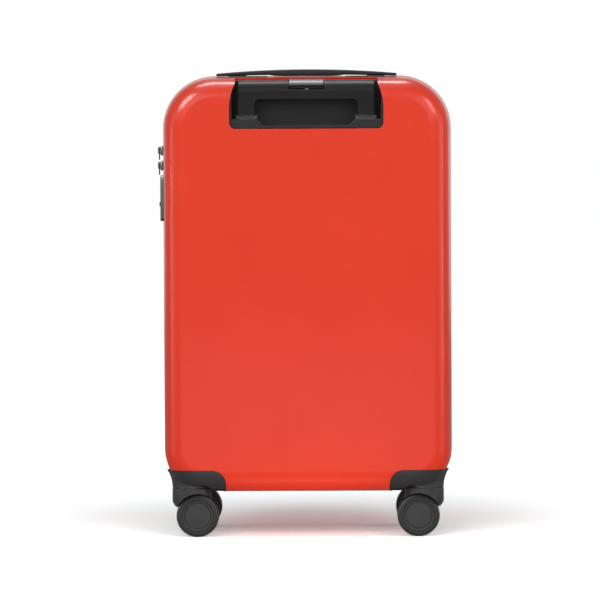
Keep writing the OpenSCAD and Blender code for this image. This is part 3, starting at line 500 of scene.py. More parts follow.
def lining_half(name, side, floor, with_tray):
    """A lining cut round the caster pockets and, in the back half, round the handle's tray."""
    cutters = [corner_notch(right, side, 0.0058) for right in (False, True)]
    if with_tray:
        cutters.append(block_of((-0.097, -0.2, 0.4715), (0.097, -0.0714, 0.7)))
    cloth = carve(block_inside(lining_line(floor), side), cutters)
    weld(cloth)
    open_side = [f for f in cloth.faces
                 if all(abs(side * v.co.y - lining_rim) < 1e-5 for v in f.verts)]
    bmesh.ops.delete(cloth, geom=open_side, context="FACES")
    turn_outwards(cloth)
    piece = as_object(cloth, name)
    give_wall(piece, lining_wall)
    smooth_shade(piece, 35)
    return piece


lining_cloth, coat, surface = new_finish("grey_quilted_lining")
seen_from = add_step(coat, "TexCoord")
place = seen_from["Object"]
x, y, z = add_step(coat, "SeparateXYZ", {0: place})
facing_x, _, facing_z = add_step(coat, "SeparateXYZ", {0: seen_from["Normal"]})
on_top = reckon(coat, "SUBTRACT", reckon(coat, "ABSOLUTE", facing_z),
                reckon(coat, "ABSOLUTE", facing_x))
rise = reckon(coat, "ADD", reckon(coat, "ADD", x, z), y)
fall = reckon(coat, "MULTIPLY_ADD", y, on_top, reckon(coat, "SUBTRACT", z, x))
lozenge = add_step(coat, "CombineXYZ", {"X": reckon(coat, "MULTIPLY", rise, 0.7071),
                                        "Y": reckon(coat, "MULTIPLY", fall, 0.7071)})[0]
quilt = add_step(coat, "TexBrick", {
    "Vector": lozenge, "Color1": (0.105, 0.108, 0.115, 1.0), "Color2": (0.118, 0.121, 0.129, 1.0),
    "Mortar": (0.045, 0.046, 0.050, 1.0), "Scale": 1.0, "Brick Width": 0.036,
    "Row Height": 0.036, "Mortar Size": 0.0006, "Mortar Smooth": 0.6}, offset=0.0)["Color"]
puffed = reckon(coat, "MULTIPLY_ADD", mottle(coat, place, 1400.0), 0.25, mottle(coat, place, 45.0))
feed(coat, surface, {"Base Color": quilt, "Roughness": 0.78, "Sheen Weight": 0.25,
                     "Normal": relief(coat, puffed, 0.5, 0.0008)})

for half, side, floor in (("back", -1.0, back_floor), ("front", 1.0, front_floor)):
    lining = lining_half(half + "_lining_cloth", side, floor, half == "back")
    lining.data.materials.append(lining_cloth)
    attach(lining, half + "_half")
    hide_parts(half + "_lining")

# ---- Zip bands ----
# Woven polyester tape, stitched inside each rim and bulging out to the zip. On the hinge side one
# strip of the same cloth runs from rim to rim.

tape_thick = 0.0016
tape_line = [(-0.0014, 0.00015), (-0.0014, 0.0018), (-0.0014, 0.0034), (-0.0011, 0.0050),
             (-0.0010, 0.0084), (-0.0015, 0.0112), (-0.0026, 0.0140), (-0.00297, 0.0210)]

tape_cloth, coat, surface = new_finish("black_zip_tape")
place = add_step(coat, "TexCoord")["Object"]
weft = add_step(coat, "TexVoronoi", {"Vector": place, "Scale": 1300.0})["Distance"]
feed(coat, surface, {
    "Base Color": two_tones(coat, mottle(coat, place, 60.0, 4.0),
                            (0.016, 0.016, 0.017), (0.030, 0.030, 0.032), 0.3, 0.75),
    "Roughness": 0.82, "Sheen Weight": 0.3, "Normal": relief(coat, weft, 0.6, 0.0003)})


def finished(bm, name, skin, degrees):
    """A piece with its finish on, shaded smooth up to an angle."""
    piece = as_object(bm, name)
    smooth_shade(piece, degrees)
    piece.data.materials.append(skin)
    return piece


for half, side in (("back", -1.0), ("front", 1.0)):
    tape = bmesh.new()
    under = [(u - tape_thick, d) for u, d in reversed(tape_line)]
    sweep_round_case(tape, tape_line + under + tape_line[:1], hinge_side=False, side=side)
    weld(tape, 2e-6)
    close_up(tape)
    band = finished(tape, half + "_zip_band", tape_cloth, 30)
    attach(band, half + "_half")
    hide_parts(half + "_zip_tape")

hinge = bmesh.new()
across = [(u, -d) for u, d in reversed(tape_line)] + tape_line[1:]
fine = []
for (u0, d0), (u1, d1) in zip(across, across[1:]):
    n = max(1, round((d1 - d0) / 0.0015))
    fine += [(u0 + (u1 - u0) * i / n, d0 + (d1 - d0) * i / n) for i in range(n)]
fine.append(across[-1])
strip = [hinge.verts.new((case_half_w + u, d, case_bottom + bottom_round)) for u, d in fine]
run = [hinge.edges.new(pair) for pair in zip(strip, strip[1:])]
for i in range(20):
    grown = bmesh.ops.extrude_edge_only(hinge, edges=run)["geom"]
    run = [e for e in edges_of(grown) if all(v in grown for v in e.verts)]
    bmesh.ops.translate(hinge, vec=(0.0, 0.0, side_tall / 20), verts=points_of(grown))
turn_outwards(hinge)
if sum(f.normal.x for f in hinge.faces) < 0:
    bmesh.ops.reverse_faces(hinge, faces=hinge.faces[:])
bmesh.ops.solidify(hinge, geom=hinge.faces[:], thickness=tape_thick)
turn_outwards(hinge)
hinge_cloth = finished(hinge, "hinge_cloth", tape_cloth, 40)
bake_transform(hinge_cloth)

# ---- Zip teeth ----
# Moulded plastic teeth in two rows, one on each tape, half a tooth apart, so that the heads of
# each row close the gaps of the other.

tooth_pitch, tooth_high, tooth_deep = 0.0024, 0.0015, 0.0028


def along_zip(s):
    """Place and outward direction at a length s along the zip, from its upper end."""
    arc_top, arc_low = top_round * math.pi / 2, bottom_round * math.pi / 2
    wide_top, wide_low = 2 * (case_half_w - top_round), 2 * (case_half_w - bottom_round)
    for length, kind in ((arc_top, "ur"), (wide_top, "top"), (arc_top, "ul"), (side_tall, "left"),
                         (arc_low, "ll"), (wide_low, "low"), (arc_low, "lr")):
        if s <= length:
            break
        s -= length
    if kind == "top":
        return Vector((case_half_w - top_round - s, 0.0, case_top)), math.pi / 2
    if kind == "left":
        return Vector((-case_half_w, 0.0, case_top - top_round - s)), math.pi
    if kind == "low":
        return Vector((bottom_round - case_half_w + s, 0.0, case_bottom)), -math.pi / 2
    r = top_round if kind[0] == "u" else bottom_round
    start = {"ur": 0.0, "ul": math.pi / 2, "ll": math.pi, "lr": 1.5 * math.pi}[kind]
    a = start + s / r
    cx = (case_half_w - r) * (1 if kind[1] == "r" else -1)
    cz = case_top - r if kind[0] == "u" else case_bottom + r
    return Vector((cx + r * math.cos(a), 0.0, cz + r * math.sin(a))), a


zip_length = math.pi * (top_round + bottom_round) + 4 * case_half_w - 2 * (top_round + bottom_round)
zip_length += side_tall


def teeth_row(name, side, shift):
    """A row of teeth round one half, from one end of the zip to the other."""
    tooth = block_of((-0.0014, -0.0006, -0.00055),
                     (tooth_high - 0.0014, 0.00015 + tooth_deep, 0.00055))
    crown = [e for e in tooth.edges if all(v.co.x > 0.0 for v in e.verts)]
    round_edges(tooth, crown, 0.0004, 1)
    shape = bpy.data.meshes.new("tooth")
    tooth.to_mesh(shape)
    tooth.free()
    row = bmesh.new()
    for i in range(int(zip_length / tooth_pitch)):
        place, a = along_zip((i + 0.5 + shift) * tooth_pitch)
        before = len(row.verts)
        row.from_mesh(shape)
        row.verts.ensure_lookup_table()
        turn = Matrix.Rotation(-a, 4, "Y")
        if side < 0:
            turn = turn @ Matrix.Scale(-1.0, 4, (0.0, 1.0, 0.0))
        bmesh.ops.transform(row, matrix=Matrix.Translation(place) @ turn, verts=row.verts[before:])
    bpy.data.meshes.remove(shape)
    turn_outwards(row)
    return as_object(row, name)


def moulded(name, tone, rough=0.45, grain=0.12, shine=0.35):
    """Moulded plastic or rubber: uneven tone, fine grain, and slightly polished high spots."""
    skin, coat, surface = new_finish(name)
    place = add_step(coat, "TexCoord")["Object"]
    cloud = mottle(coat, place, 35.0, 4.0)
    low, high = (tone * 0.86, tone * 0.86, tone * 0.88), (tone * 1.12, tone * 1.12, tone * 1.14)
    feed(coat, surface, {
        "Specular IOR Level": shine,
        "Base Color": two_tones(coat, cloud, low, high, 0.35, 0.7),
        "Roughness": uneven_polish(coat, cloud, rough - 0.05, rough + 0.07),
        "Normal": relief(coat, mottle(coat, place, 1500.0), grain, 0.0001)})
    return skin


teeth_plastic = moulded("black_zip_teeth", 0.022, rough=0.4)
for half, side, shift in (("back", -1.0, 0.0), ("front", 1.0, 0.5)):
    teeth = teeth_row(half + "_zip_row", side, shift)
    teeth.data.materials.append(teeth_plastic)
    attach(teeth, half + "_half")
    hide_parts(half + "_zip_teeth")

# ---- Zip sliders and pull tabs ----
# Two die-cast sliders on the lock's side. Each has an arched bridge with a pin through it, and a
# flat pull tab hangs from the pin.

slider_high, slider_long, slider_half_w = 0.0033, 0.012, 0.00445
bridge_half_t, pivot_out, pivot_up = 0.0012, 0.0049, 0.002
slider_zs = {"upper": 0.455, "lower": 0.437}


def rod(radius, length, axis, centre, sides=20):
    """A closed round rod along X, Y or Z, about its centre."""
    bar = bmesh.new()
    bmesh.ops.create_cone(bar, cap_ends=True, segments=sides, radius1=radius, radius2=radius,
                          depth=length)
    way = Vector([float(letter == axis) for letter in "XYZ"])
    turn = Vector((0.0, 0.0, 1.0)).rotation_difference(way).to_matrix().to_4x4()
    bmesh.ops.transform(bar, matrix=Matrix.Translation(centre) @ turn, verts=bar.verts[:])
    return bar


def edges_along(bm, axis):
    """The edges of a plain block that run along X, Y or Z."""
    i = "XYZ".index(axis)
    return [e for e in bm.edges if abs(e.verts[0].co[i] - e.verts[1].co[i]) > 1e-4]


def soften(bm, width, segments=2, degrees=40):
    """Rounds every sharp outer edge of a closed form."""
    round_edges(bm, outer_edges(bm, degrees), width, segments)


def zip_slider(z):
    """A slider with its arched bridge, cut for the teeth to run through and for the tab's pin."""
    x, half_l = -case_half_w, slider_long / 2
    body = block_of((x - slider_high, -slider_half_w, z - half_l),
                    (x - 0.0003, slider_half_w, z + half_l))
    round_edges(body, edges_along(body, "X"), 0.0022, 4)
    soften(body, 0.0006)
    bridge = block_of((x - pivot_out - 0.002, -bridge_half_t, z - half_l + 0.0015),
                      (x - slider_high + 0.001, bridge_half_t, z + half_l - 0.0015))
    arch = [e for e in edges_along(bridge, "Y") if all(v.co.x < x - pivot_out for v in e.verts)]
    round_edges(bridge, arch, 0.0024, 5)
    channel = block_of((x - 0.0018, -0.00325, z - 0.02), (x + 0.01, 0.02, z + 0.02))
    eye = rod(0.00096, 0.006, "Y", (x - pivot_out, 0.0, z + pivot_up))
    return carve(carve(body, [bridge], "UNION"), [channel, eye])


def zip_tab(z):
    """A flat tab on two arms, with the pin that joins them through the slider's bridge."""
    x, top = -case_half_w - pivot_out, z + pivot_up
    head = slider_long / 2 + pivot_up - 0.0015 + 0.0006
    arm = bridge_half_t + 0.0003
    plate = block_of((x - 0.0007, -0.0035, top - 0.013), (x + 0.0007, 0.0035, top - head))
    low = [e for e in edges_along(plate, "X") if all(v.co.z < top - 0.0125 for v in e.verts)]
    round_edges(plate, low, 0.0028, 6)
    parts = [rod(0.0009, 2 * (arm + 0.0012), "Y", (x, 0.0, top))]
    for s in (-1.0, 1.0):
        y = sorted((s * arm, s * (arm + 0.0012)))
        parts.append(block_of((x - 0.0007, y[0], top - head - 0.001),
                              (x + 0.0007, y[1], top + 0.0009)))
    return carve(carve(plate, parts, "UNION"), [rod(0.0012, 0.004, "X", (x, 0.0, top - 0.0106))])


def cast_metal(name, tone, rough, cloud_scale=70.0, stretch=(1.0, 1.0, 1.0), grain=0.15):
    """Metal with faint cloudy wear and a fine surface, drawn out along one way if it is brushed."""
    skin, coat, surface = new_finish(name)
    drawn = add_step(coat, "Mapping", {"Vector": add_step(coat, "TexCoord")["Object"],
                                       "Scale": stretch})["Vector"]
    cloud = mottle(coat, drawn, cloud_scale, 4.0)
    low, high = (tone * 0.85, tone * 0.85, tone * 0.87), (tone * 1.08, tone * 1.08, tone * 1.1)
    feed(coat, surface, {
        "Metallic": 1.0, "Base Color": two_tones(coat, cloud, low, high),
        "Roughness": uneven_polish(coat, cloud, rough - 0.06, rough + 0.08),
        "Normal": relief(coat, mottle(coat, drawn, 900.0), grain, 0.00005)})
    return skin


slider_metal = cast_metal("dark_cast_slider", 0.16, 0.34)
tab_skin = moulded("dark_pull_tab", 0.035, rough=0.38)
for level, z in slider_zs.items():
    slider = finished(zip_slider(z), level + "_slider_body", slider_metal, 35)
    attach(slider, "slider_" + level)
    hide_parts("zip_slider_" + level)
    tab = zip_tab(z)
    soften(tab, 0.00022, 1, 60)
    tab = finished(tab, level + "_pull_tab", tab_skin, 35)
    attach(tab, "tab_" + level)
    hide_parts("zip_tab_" + level)

# ---- Lock ----
# A cast lock let into the side of the back half: a plate with three windows for the number dials,
# a slot for the release and a key hole.

lock_y, lock_z, lock_face = -0.033, 0.3985, 0.1736
dial_r, dial_t, dial_x = 0.0065, 0.0052, -0.1676
dial_zs = {1: 0.413, 2: 0.406, 3: 0.399}
release_z = 0.3913


def put_in(bm, part):
    """Adds a part to a form without joining them. The part is used up."""
    loose = bpy.data.meshes.new("loose")
    part.to_mesh(loose)
    part.free()
    bm.from_mesh(loose)
    bpy.data.meshes.remove(loose)


plate = block_of((-lock_face, lock_y - 0.013, lock_z - 0.027),
                 (-0.1676, lock_y + 0.013, lock_z + 0.027))
round_edges(plate, edges_along(plate, "X"), 0.004, 6)
outer = [e for e in plate.edges if all(v.co.x < -lock_face + 1e-6 for v in e.verts)]
round_edges(plate, outer, 0.0009, 3)
plate = carve(plate, [block_of((-lock_face + 0.0005, lock_y - 0.011, lock_z - 0.025),
                               (-lock_face + 0.014, lock_y + 0.011, lock_z + 0.025))], "UNION")
windows = [rod(dial_r + 0.0004, dial_t + 0.0008, "Z", (dial_x, lock_y, z), 48)
           for z in dial_zs.values()]
slot = block_of((-0.2, lock_y - 0.0047, release_z - 0.0059),
                (-lock_face + 0.005, lock_y + 0.0047, release_z + 0.0029))
key_hole = rod(0.0025, 0.01, "X", (-lock_face, lock_y, lock_z - 0.020), 32)
plate = carve(plate, windows + [slot, key_hole])
barrel = rod(0.0021, 0.004, "X", (-lock_face + 0.0032, lock_y, lock_z - 0.020), 32)
put_in(plate, carve(barrel, [block_of((-0.2, lock_y - 0.0004, lock_z - 0.0216),
                                      (-lock_face + 0.0022, lock_y + 0.0004, lock_z - 0.0184))]))
for z in dial_zs.values():
    put_in(plate, rod(0.0014, 0.0066, "Z", (dial_x, lock_y, z)))
lock_plate = finished(plate, "lock_plate", cast_metal("satin_lock_metal", 0.085, 0.40), 30)
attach(lock_plate, "back_half")
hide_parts("lock_body")


def number_dial(z):
    """A drum with a toothed edge above and below, turned from one profile."""
    drum = bmesh.new()
    half = dial_t / 2
    profile = [(0.0015, -half), (dial_r - 0.0005, -half), (dial_r, -half + 0.0004),
               (dial_r, -0.0018), (dial_r - 0.00035, -0.0015), (dial_r - 0.00035, 0.0015),
               (dial_r, 0.0018), (dial_r, half - 0.0004), (dial_r - 0.0005, half), (0.0015, half)]
    ring = [drum.verts.new((r, 0.0, h)) for r, h in profile]
    line = [drum.edges.new(pair) for pair in zip(ring, ring[1:] + ring[:1])]
    bmesh.ops.spin(drum, geom=ring + line, cent=(0.0, 0.0, 0.0), axis=(0.0, 0.0, 1.0),
                   angle=2 * math.pi, steps=60, use_merge=True)
    for v in drum.verts:
        r = math.hypot(v.co.x, v.co.y)
        if r > dial_r - 0.0001 and round(math.degrees(math.atan2(v.co.y, v.co.x)) / 6) % 2:
            v.co.x *= 1 - 0.0003 / r
            v.co.y *= 1 - 0.0003 / r
    turn_outwards(drum)
    bmesh.ops.translate(drum, vec=(dial_x, lock_y, z), verts=drum.verts[:])
    return drum


dial_skin = moulded("black_number_dial", 0.022, rough=0.42)
number_ink = moulded("white_dial_number", 0.72, rough=0.5)
upright = Matrix(((0.0, 0.0, -1.0), (0.0, -1.0, 0.0), (-1.0, 0.0, 0.0))).to_4x4()
on_drum = Matrix.Translation((-(dial_r - 0.00034), 0.0, 0.0))
for number, z in dial_zs.items():
    name = "lock_dial_%d" % number
    drum = finished(number_dial(z), name + "_drum", dial_skin, 25)
    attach(drum, "dial_%d" % number)
    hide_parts(name)
    figures = bmesh.new()
    for digit in range(10):
        writing = bpy.data.curves.new("digit", "FONT")
        writing.body = str(digit)
        writing.size = 0.0034
        writing.align_x, writing.align_y = "CENTER", "CENTER"
        writing.extrude = 0.00005
        writing.resolution_u = 2
        word = bpy.data.objects.new("digit", writing)
        bpy.context.scene.collection.objects.link(word)
        bpy.context.view_layer.update()
        before = len(figures.verts)
        flat = bpy.data.meshes.new_from_object(word)
        figures.from_mesh(flat)
        figures.verts.ensure_lookup_table()
        turn = Matrix.Rotation(math.radians(36.0 * digit), 4, "Z") @ on_drum @ upright
        bmesh.ops.transform(figures, matrix=Matrix.Translation((dial_x, lock_y, z)) @ turn,
                            verts=figures.verts[before:])
        bpy.data.objects.remove(word)
        bpy.data.curves.remove(writing)
        bpy.data.meshes.remove(flat)
    figures = as_object(figures, name + "_figures")
    figures.data.materials.append(number_ink)
    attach(figures, "dial_%d" % number)

button = block_of((-lock_face - 0.0013, lock_y - 0.0045, release_z - 0.0027),
                  (-lock_face + 0.0033, lock_y + 0.0045, release_z + 0.0027))
soften(button, 0.0005)
grooves = [block_of((-0.2, lock_y - 0.0034, release_z + h - 0.0002),
                    (-lock_face - 0.0009, lock_y + 0.0034, release_z + h + 0.0002))
           for h in (-0.0013, 0.0, 0.0013)]
release = finished(carve(button, grooves), "lock_release_button", dial_skin, 30)
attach(release, "release")
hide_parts("lock_release")

# ---- Handle tray ----
# A black moulded well, screwed in a little behind the mouth of the recess. Its two ledges guide
# the tubes, and the grip rests in it when the handle is down.

tray_half_w, tray_in_w, tray_back_y, tray_wall = 0.090, 0.0876, 0.076, 0.0024
tray_low, tray_foot, tray_round, ledge_high = 0.4800, 0.484, 0.007, 0.4912
tray_set_back = 0.0026
tube_x, tube_y, tube_corner = 0.070, -0.096, 0.0026


def tube_hole(s, half_w, half_d, low, high):
    """The hole for one leg of the handle: a bar of the tube's outline."""
    hole = block_of((s * tube_x - half_w, tube_y - half_d, low),
                    (s * tube_x + half_w, tube_y + half_d, high))
    round_edges(hole, edges_along(hole, "Z"), tube_corner, 4)
    return hole


well = prism([(tray_half_w, 0.7), (-tray_half_w, 0.7)]
             + turned_corner(-tray_half_w + tray_round, tray_low + tray_round, tray_round, 180.0)
             + turned_corner(tray_half_w - tray_round, tray_low + tray_round, tray_round, 270.0),
             -0.2, -tray_back_y, "Y")
hollow = prism([(tray_in_w, 0.7), (-tray_in_w, 0.7), (-tray_in_w, ledge_high),
                (-0.0575, ledge_high), (-0.050, tray_foot), (0.050, tray_foot),
                (0.0575, ledge_high), (tray_in_w, ledge_high)],
               -0.25, -tray_back_y - tray_wall, "Y")
tray = carve(case_block(-tray_set_back), [well], "INTERSECT")
tray = carve(tray, [hollow] + [tube_hole(s, 0.011, 0.0065, 0.45, 0.50) for s in (-1.0, 1.0)])
weld(tray)
tray_plastic = moulded("black_tray_plastic", 0.011, rough=0.5, grain=0.2, shine=0.2)
tray = finished(tray, "handle_tray", tray_plastic, 30)
ease_edges(tray, 0.0006, 2, 35)
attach(tray, "back_half")
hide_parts("pull_handle_tray")

# ---- Telescopic tubes ----
# Drawn aluminium tubes with rounded corners, brushed along their length. Their plugs, collars and
# foot are black nylon; the rods, pins and spring inside are steel.


def finish_node(name, skin):
    """Gives a part of the frame its finish."""
    for place in node[name].material_slots:
        place.material = skin


drawn_tube = cast_metal("brushed_aluminium", 0.62, 0.33, 60.0, (1.0, 1.0, 0.04), 0.25)
spring_steel = cast_metal("bright_steel", 0.55, 0.28)
nylon = moulded("black_nylon", 0.024, rough=0.42)
for name in ("outer_tubes", "middle_tubes", "inner_tubes"):
    finish_node(name, drawn_tube)
finish_node("tube_lock_pins", spring_steel)
finish_node("push_rods", cast_metal("blackened_steel", 0.035, 0.5))
for name in ("tube_foot", "middle_tube_bushes", "inner_tube_bushes"):
    finish_node(name, nylon)

# ---- Grip ----
# A black moulded bar with two short legs and the release button let into its top, on a coil
# spring. The bar's upper edge is rounded to follow the case.

grip_half_w, grip_high, bar_low, leg_low = 0.0795, 0.537, 0.5146, 0.4960
grip_front_y, grip_back_y, grip_round, leg_in = -0.108, -0.084, 0.0135, 0.0605
leg_round, grip_end_round = 0.006, 0.005

outline = ([(-grip_half_w, leg_low), (-leg_in, leg_low)]
           + [(-leg_in + leg_round - leg_round * math.cos(math.radians(a)),
               bar_low - leg_round + leg_round * math.sin(math.radians(a)))
              for a in range(0, 91, 15)]
           + [(leg_in - leg_round + leg_round * math.sin(math.radians(a)),
               bar_low - leg_round + leg_round * math.cos(math.radians(a)))
              for a in range(0, 91, 15)]
           + [(leg_in, leg_low), (grip_half_w, leg_low)]
           + turned_corner(grip_half_w - grip_end_round, grip_high - grip_end_round,
                           grip_end_round, 0.0)
           + turned_corner(-grip_half_w + grip_end_round, grip_high - grip_end_round,
                           grip_end_round, 90.0))


def grip_side(grow):
    """Side view of the bar, (y, z), with its upper back edge rounded, grown by so much."""
    y0, y1, z1 = grip_front_y - grow, grip_back_y + grow, grip_high + grow
    r = grip_round + grow
    arc = [(y0 + 0.0006 + r - r * math.sin(math.radians(a)),
            z1 - r + r * math.cos(math.radians(a))) for a in range(0, 91, 9)]
    return [(y0, leg_low - 0.01), (y1, leg_low - 0.01), (y1, z1)] + arc + [(y0, z1 - r - 0.0003)]


grip = prism(outline, grip_front_y - 0.01, grip_back_y + 0.01, "Y")
grip = carve(grip, [prism(grip_side(0.0), -0.1, 0.1, "X")], "INTERSECT")
bores = [tube_hole(s, 0.0086, 0.0041, leg_low - 0.01, 0.5126) for s in (-1.0, 1.0)]
grip = carve(grip, [block_of((-0.0207, -0.1114, 0.5262), (0.0207, -0.0896, 0.56))] + bores)
weld(grip)
grip_plastic = moulded("black_grip_plastic", 0.011, rough=0.38, grain=0.1, shine=0.1)
grip = finished(grip, "pull_handle_grip", grip_plastic, 30)
ease_edges(grip, 0.0009, 3, 42)
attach(grip, "pull_handle")
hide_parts("pull_grip")

press = block_of((-0.0203, -0.12, 0.5306), (0.0203, -0.0904, 0.56))
press = carve(press, [prism(grip_side(0.0012), -0.1, 0.1, "X")], "INTERSECT")
weld(press)
button_plastic = moulded("black_button_plastic", 0.026, rough=0.36, grain=0.08)
press = finished(press, "grip_release_button", button_plastic, 30)
ease_edges(press, 0.0006, 2, 40)
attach(press, "handle_button")
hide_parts("grip_button")

coil_foot, coil_high, coil_r, wire_r = 0.5176, 0.0098, 0.0033, 0.0007
coil = bmesh.new()
bmesh.ops.create_circle(coil, radius=wire_r, segments=10, matrix=Matrix.Translation(
    (coil_r, 0.0, 0.0)) @ Matrix.Rotation(math.pi / 2, 4, "X"))
bmesh.ops.spin(coil, geom=coil.verts[:] + coil.edges[:], cent=(0.0, 0.0, 0.0), axis=(0.0, 0.0, 1.0),
               dvec=(0.0, 0.0, (coil_high - 2 * wire_r) / 96), angle=8 * math.pi, steps=96)
close_up(coil)
bmesh.ops.translate(coil, vec=(0.0, tube_y, coil_foot + wire_r), verts=coil.verts[:])
spring = finished(coil, "coil_spring", spring_steel, 50)
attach(spring, "pull_handle")
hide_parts("button_spring")
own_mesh(spring)

# ---- Carry handle ----
# A flexible rubber strap with a thicker grip in its middle. Two moulded feet hold it to the top.

carry_y, carry_half_w, carry_half_l, carry_thick = -0.045, 0.011, 0.1065, 0.005
grip_half_l, foot_in, foot_out, post_in = 0.044, 0.0462, 0.0922, 0.0712


def strap_top(x):
    """Height of the strap's upper side at x."""
    return 0.550 - 0.0047 * (x / carry_half_l) ** 2


def strap_low(x):
    """Height of the strap's lower side at x: the grip in the middle is thicker."""
    thick = 0.0015 * max(0.0, 1 - (x / grip_half_l) ** 6)
    return 0.5423 + 0.0016 * (1 - (x / carry_half_l) ** 2) - thick


def carry_length(x0, x1, cuts, round_ends=()):
    """A length of the strap, its long edges rounded and its heights set by the two curves."""
    bar = block_of((x0, carry_y - carry_half_w, 0.0), (x1, carry_y + carry_half_w, carry_thick))

    def at_end(e, x):
        return all(abs(v.co.x - x) < 1e-6 for v in e.verts)

    for x in round_ends:
        round_edges(bar, [e for e in edges_along(bar, "Z") if at_end(e, x)], 0.0045, 6)
    plain_ends = [x for x in (x0, x1) if x not in round_ends]
    long = [e for e in bar.edges if len(e.link_faces) == 2 and e.is_convex
            and sum(abs(f.normal.z) > 0.9 for f in e.link_faces) == 1
            and not any(at_end(e, x) for x in plain_ends)]
    round_edges(bar, long, 0.0015, 4)
    for i in range(1, cuts):
        bmesh.ops.bisect_plane(bar, geom=bar.verts[:] + bar.edges[:] + bar.faces[:],
                               plane_co=(x0 + (x1 - x0) * i / cuts, 0.0, 0.0),
                               plane_no=(1.0, 0.0, 0.0), dist=1e-7)
    for v in bar.verts:
        x = v.co.x
        v.co.z = strap_low(x) + v.co.z / carry_thick * (strap_top(x) - strap_low(x))
    turn_outwards(bar)
    return bar


strap_rubber = moulded("black_strap_rubber", 0.013, rough=0.5, grain=0.25, shine=0.2)
foot_plastic = moulded("black_foot_plastic", 0.024, rough=0.46)
grip_bar = finished(carry_length(-grip_half_l, grip_half_l, 44), "carry_grip_rubber",
                    strap_rubber, 40)
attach(grip_bar, "carry_handle")
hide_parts("carry_grip")
for hand, s in (("left", -1.0), ("right", 1.0)):
    x0, x1 = sorted((s * grip_half_l, s * carry_half_l))
    strap = finished(carry_length(x0, x1, 32, [s * carry_half_l]), hand + "_carry_strap",
                     strap_rubber, 40)
    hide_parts("carry_strap_ends")
    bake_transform(strap)

for hand, s in (("left", -1.0), ("right", 1.0)):
    x0, x1 = sorted((s * foot_in, s * foot_out))
    foot = block_of((x0, carry_y - carry_half_w, 0.5395), (x1, carry_y + carry_half_w, 0.5424))
    round_edges(foot, edges_along(foot, "Z"), 0.003, 5)
    soften(foot, 0.0004)
    x0, x1 = sorted((s * post_in, s * foot_out))
    post = block_of((x0, carry_y - 0.006, 0.5400), (x1, carry_y + 0.006, 0.5430))
    foot = finished(carve(foot, [post], "UNION"), hand + "_carry_foot", foot_plastic, 30)
    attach(foot, "back_half")
    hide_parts("carry_feet")

# ---- Casters ----
# Each corner of the case sits in a moulded housing. A drum-shaped fork turns under its round boss,
# and two wheels run on one steel axle, one on each side of the fork's web.

swivel_x, swivel_y = 0.137, 0.076
fork_r, fork_high, boss_low, skirt_low = 0.023, 0.058, 0.0585, 0.035
flare_w, pocket_r, pocket_high, skirt_high = 0.0065, 0.033, 0.062, 0.057
wheel_r, wheel_w, axle_x, web_half = 0.025, 0.0095, -0.130, 0.005
hub_r = 0.0182


def turned(profile, centre, axis="Z", steps=64):
    """A closed turned form from a profile of (radius, height) that starts and ends on the axis."""
    shape = bmesh.new()
    upright = axis == "Z"
    ring = [shape.verts.new((r, 0.0, h) if upright else (r, h, 0.0)) for r, h in profile]
    line = [shape.edges.new(pair) for pair in zip(ring, ring[1:])]
    bmesh.ops.spin(shape, geom=ring + line, cent=(0.0, 0.0, 0.0), angle=2 * math.pi, steps=steps,
                   axis=(0.0, 0.0, 1.0) if upright else (0.0, 1.0, 0.0), use_merge=True)
    weld(shape, 2e-6)
    turn_outwards(shape)
    bmesh.ops.translate(shape, vec=centre, verts=shape.verts[:])
    return shape


def housing_shape():
    """The cap that fills a corner notch, with the flared boss that the fork turns under."""
    fits = 0.0002
    notch_top, inner_d = notch_z - fits, notch_d - face_y
    cap = carve(case_block(2 * fits), [corner_notch(False, -1.0, -fits)], "INTERSECT")
    pocket = rod(pocket_r, 0.2, "Z", (-swivel_x, -swivel_y, pocket_high - 0.1), 72)
    under = block_of((-0.4, -0.4, -0.1), (-notch_x - 0.0026, inner_d - 0.0026, skirt_high))
    cap = carve(cap, [pocket, under])
    rise = notch_top - boss_low
    arc = (rise * rise + flare_w * flare_w) / (2 * flare_w)
    flare = [(fork_r + arc - arc * math.cos(a), boss_low + arc * math.sin(a))
             for a in (math.asin(rise / arc) * i / 10 for i in range(11))]
    boss = turned([(0.0, boss_low), (fork_r - 0.0006, boss_low)] + flare + [(0.0, notch_top)],
                  (-swivel_x, -swivel_y, 0.0))
    boss = carve(boss, [corner_notch(False, -1.0, -fits)], "INTERSECT")
    cap = carve(cap, [boss], "UNION")
    weld(cap)
    return cap


def fork_shape():
    """A drum cut away for both wheels, with the web and knuckle that carry their axle."""
    body = turned([(0.0, skirt_low), (fork_r - 0.0045, skirt_low),
                   (fork_r - 0.0036, skirt_low + 0.0004), (fork_r - 0.0004, skirt_low + 0.0054),
                   (fork_r, skirt_low + 0.0065), (fork_r, fork_high - 0.0008),
                   (fork_r - 0.0008, fork_high), (0.0194, fork_high), (0.0194, 0.0563),
                   (0.0, 0.0563)], (-swivel_x, -swivel_y, 0.0))
    wells = [rod(wheel_r + 0.0013, 0.03, "Y",
                 (axle_x, -swivel_y + s * (web_half + 0.015), wheel_r), 72) for s in (-1.0, 1.0)]
    knuckle = rod(0.008, 2 * web_half, "Y", (axle_x, -swivel_y, wheel_r), 40)
    web = block_of((axle_x - 0.008, -swivel_y - web_half, wheel_r),
                   (axle_x + 0.008, -swivel_y + web_half, skirt_low + 0.004))
    body = carve(carve(body, wells), [knuckle, web], "UNION")
    weld(body)
    return body


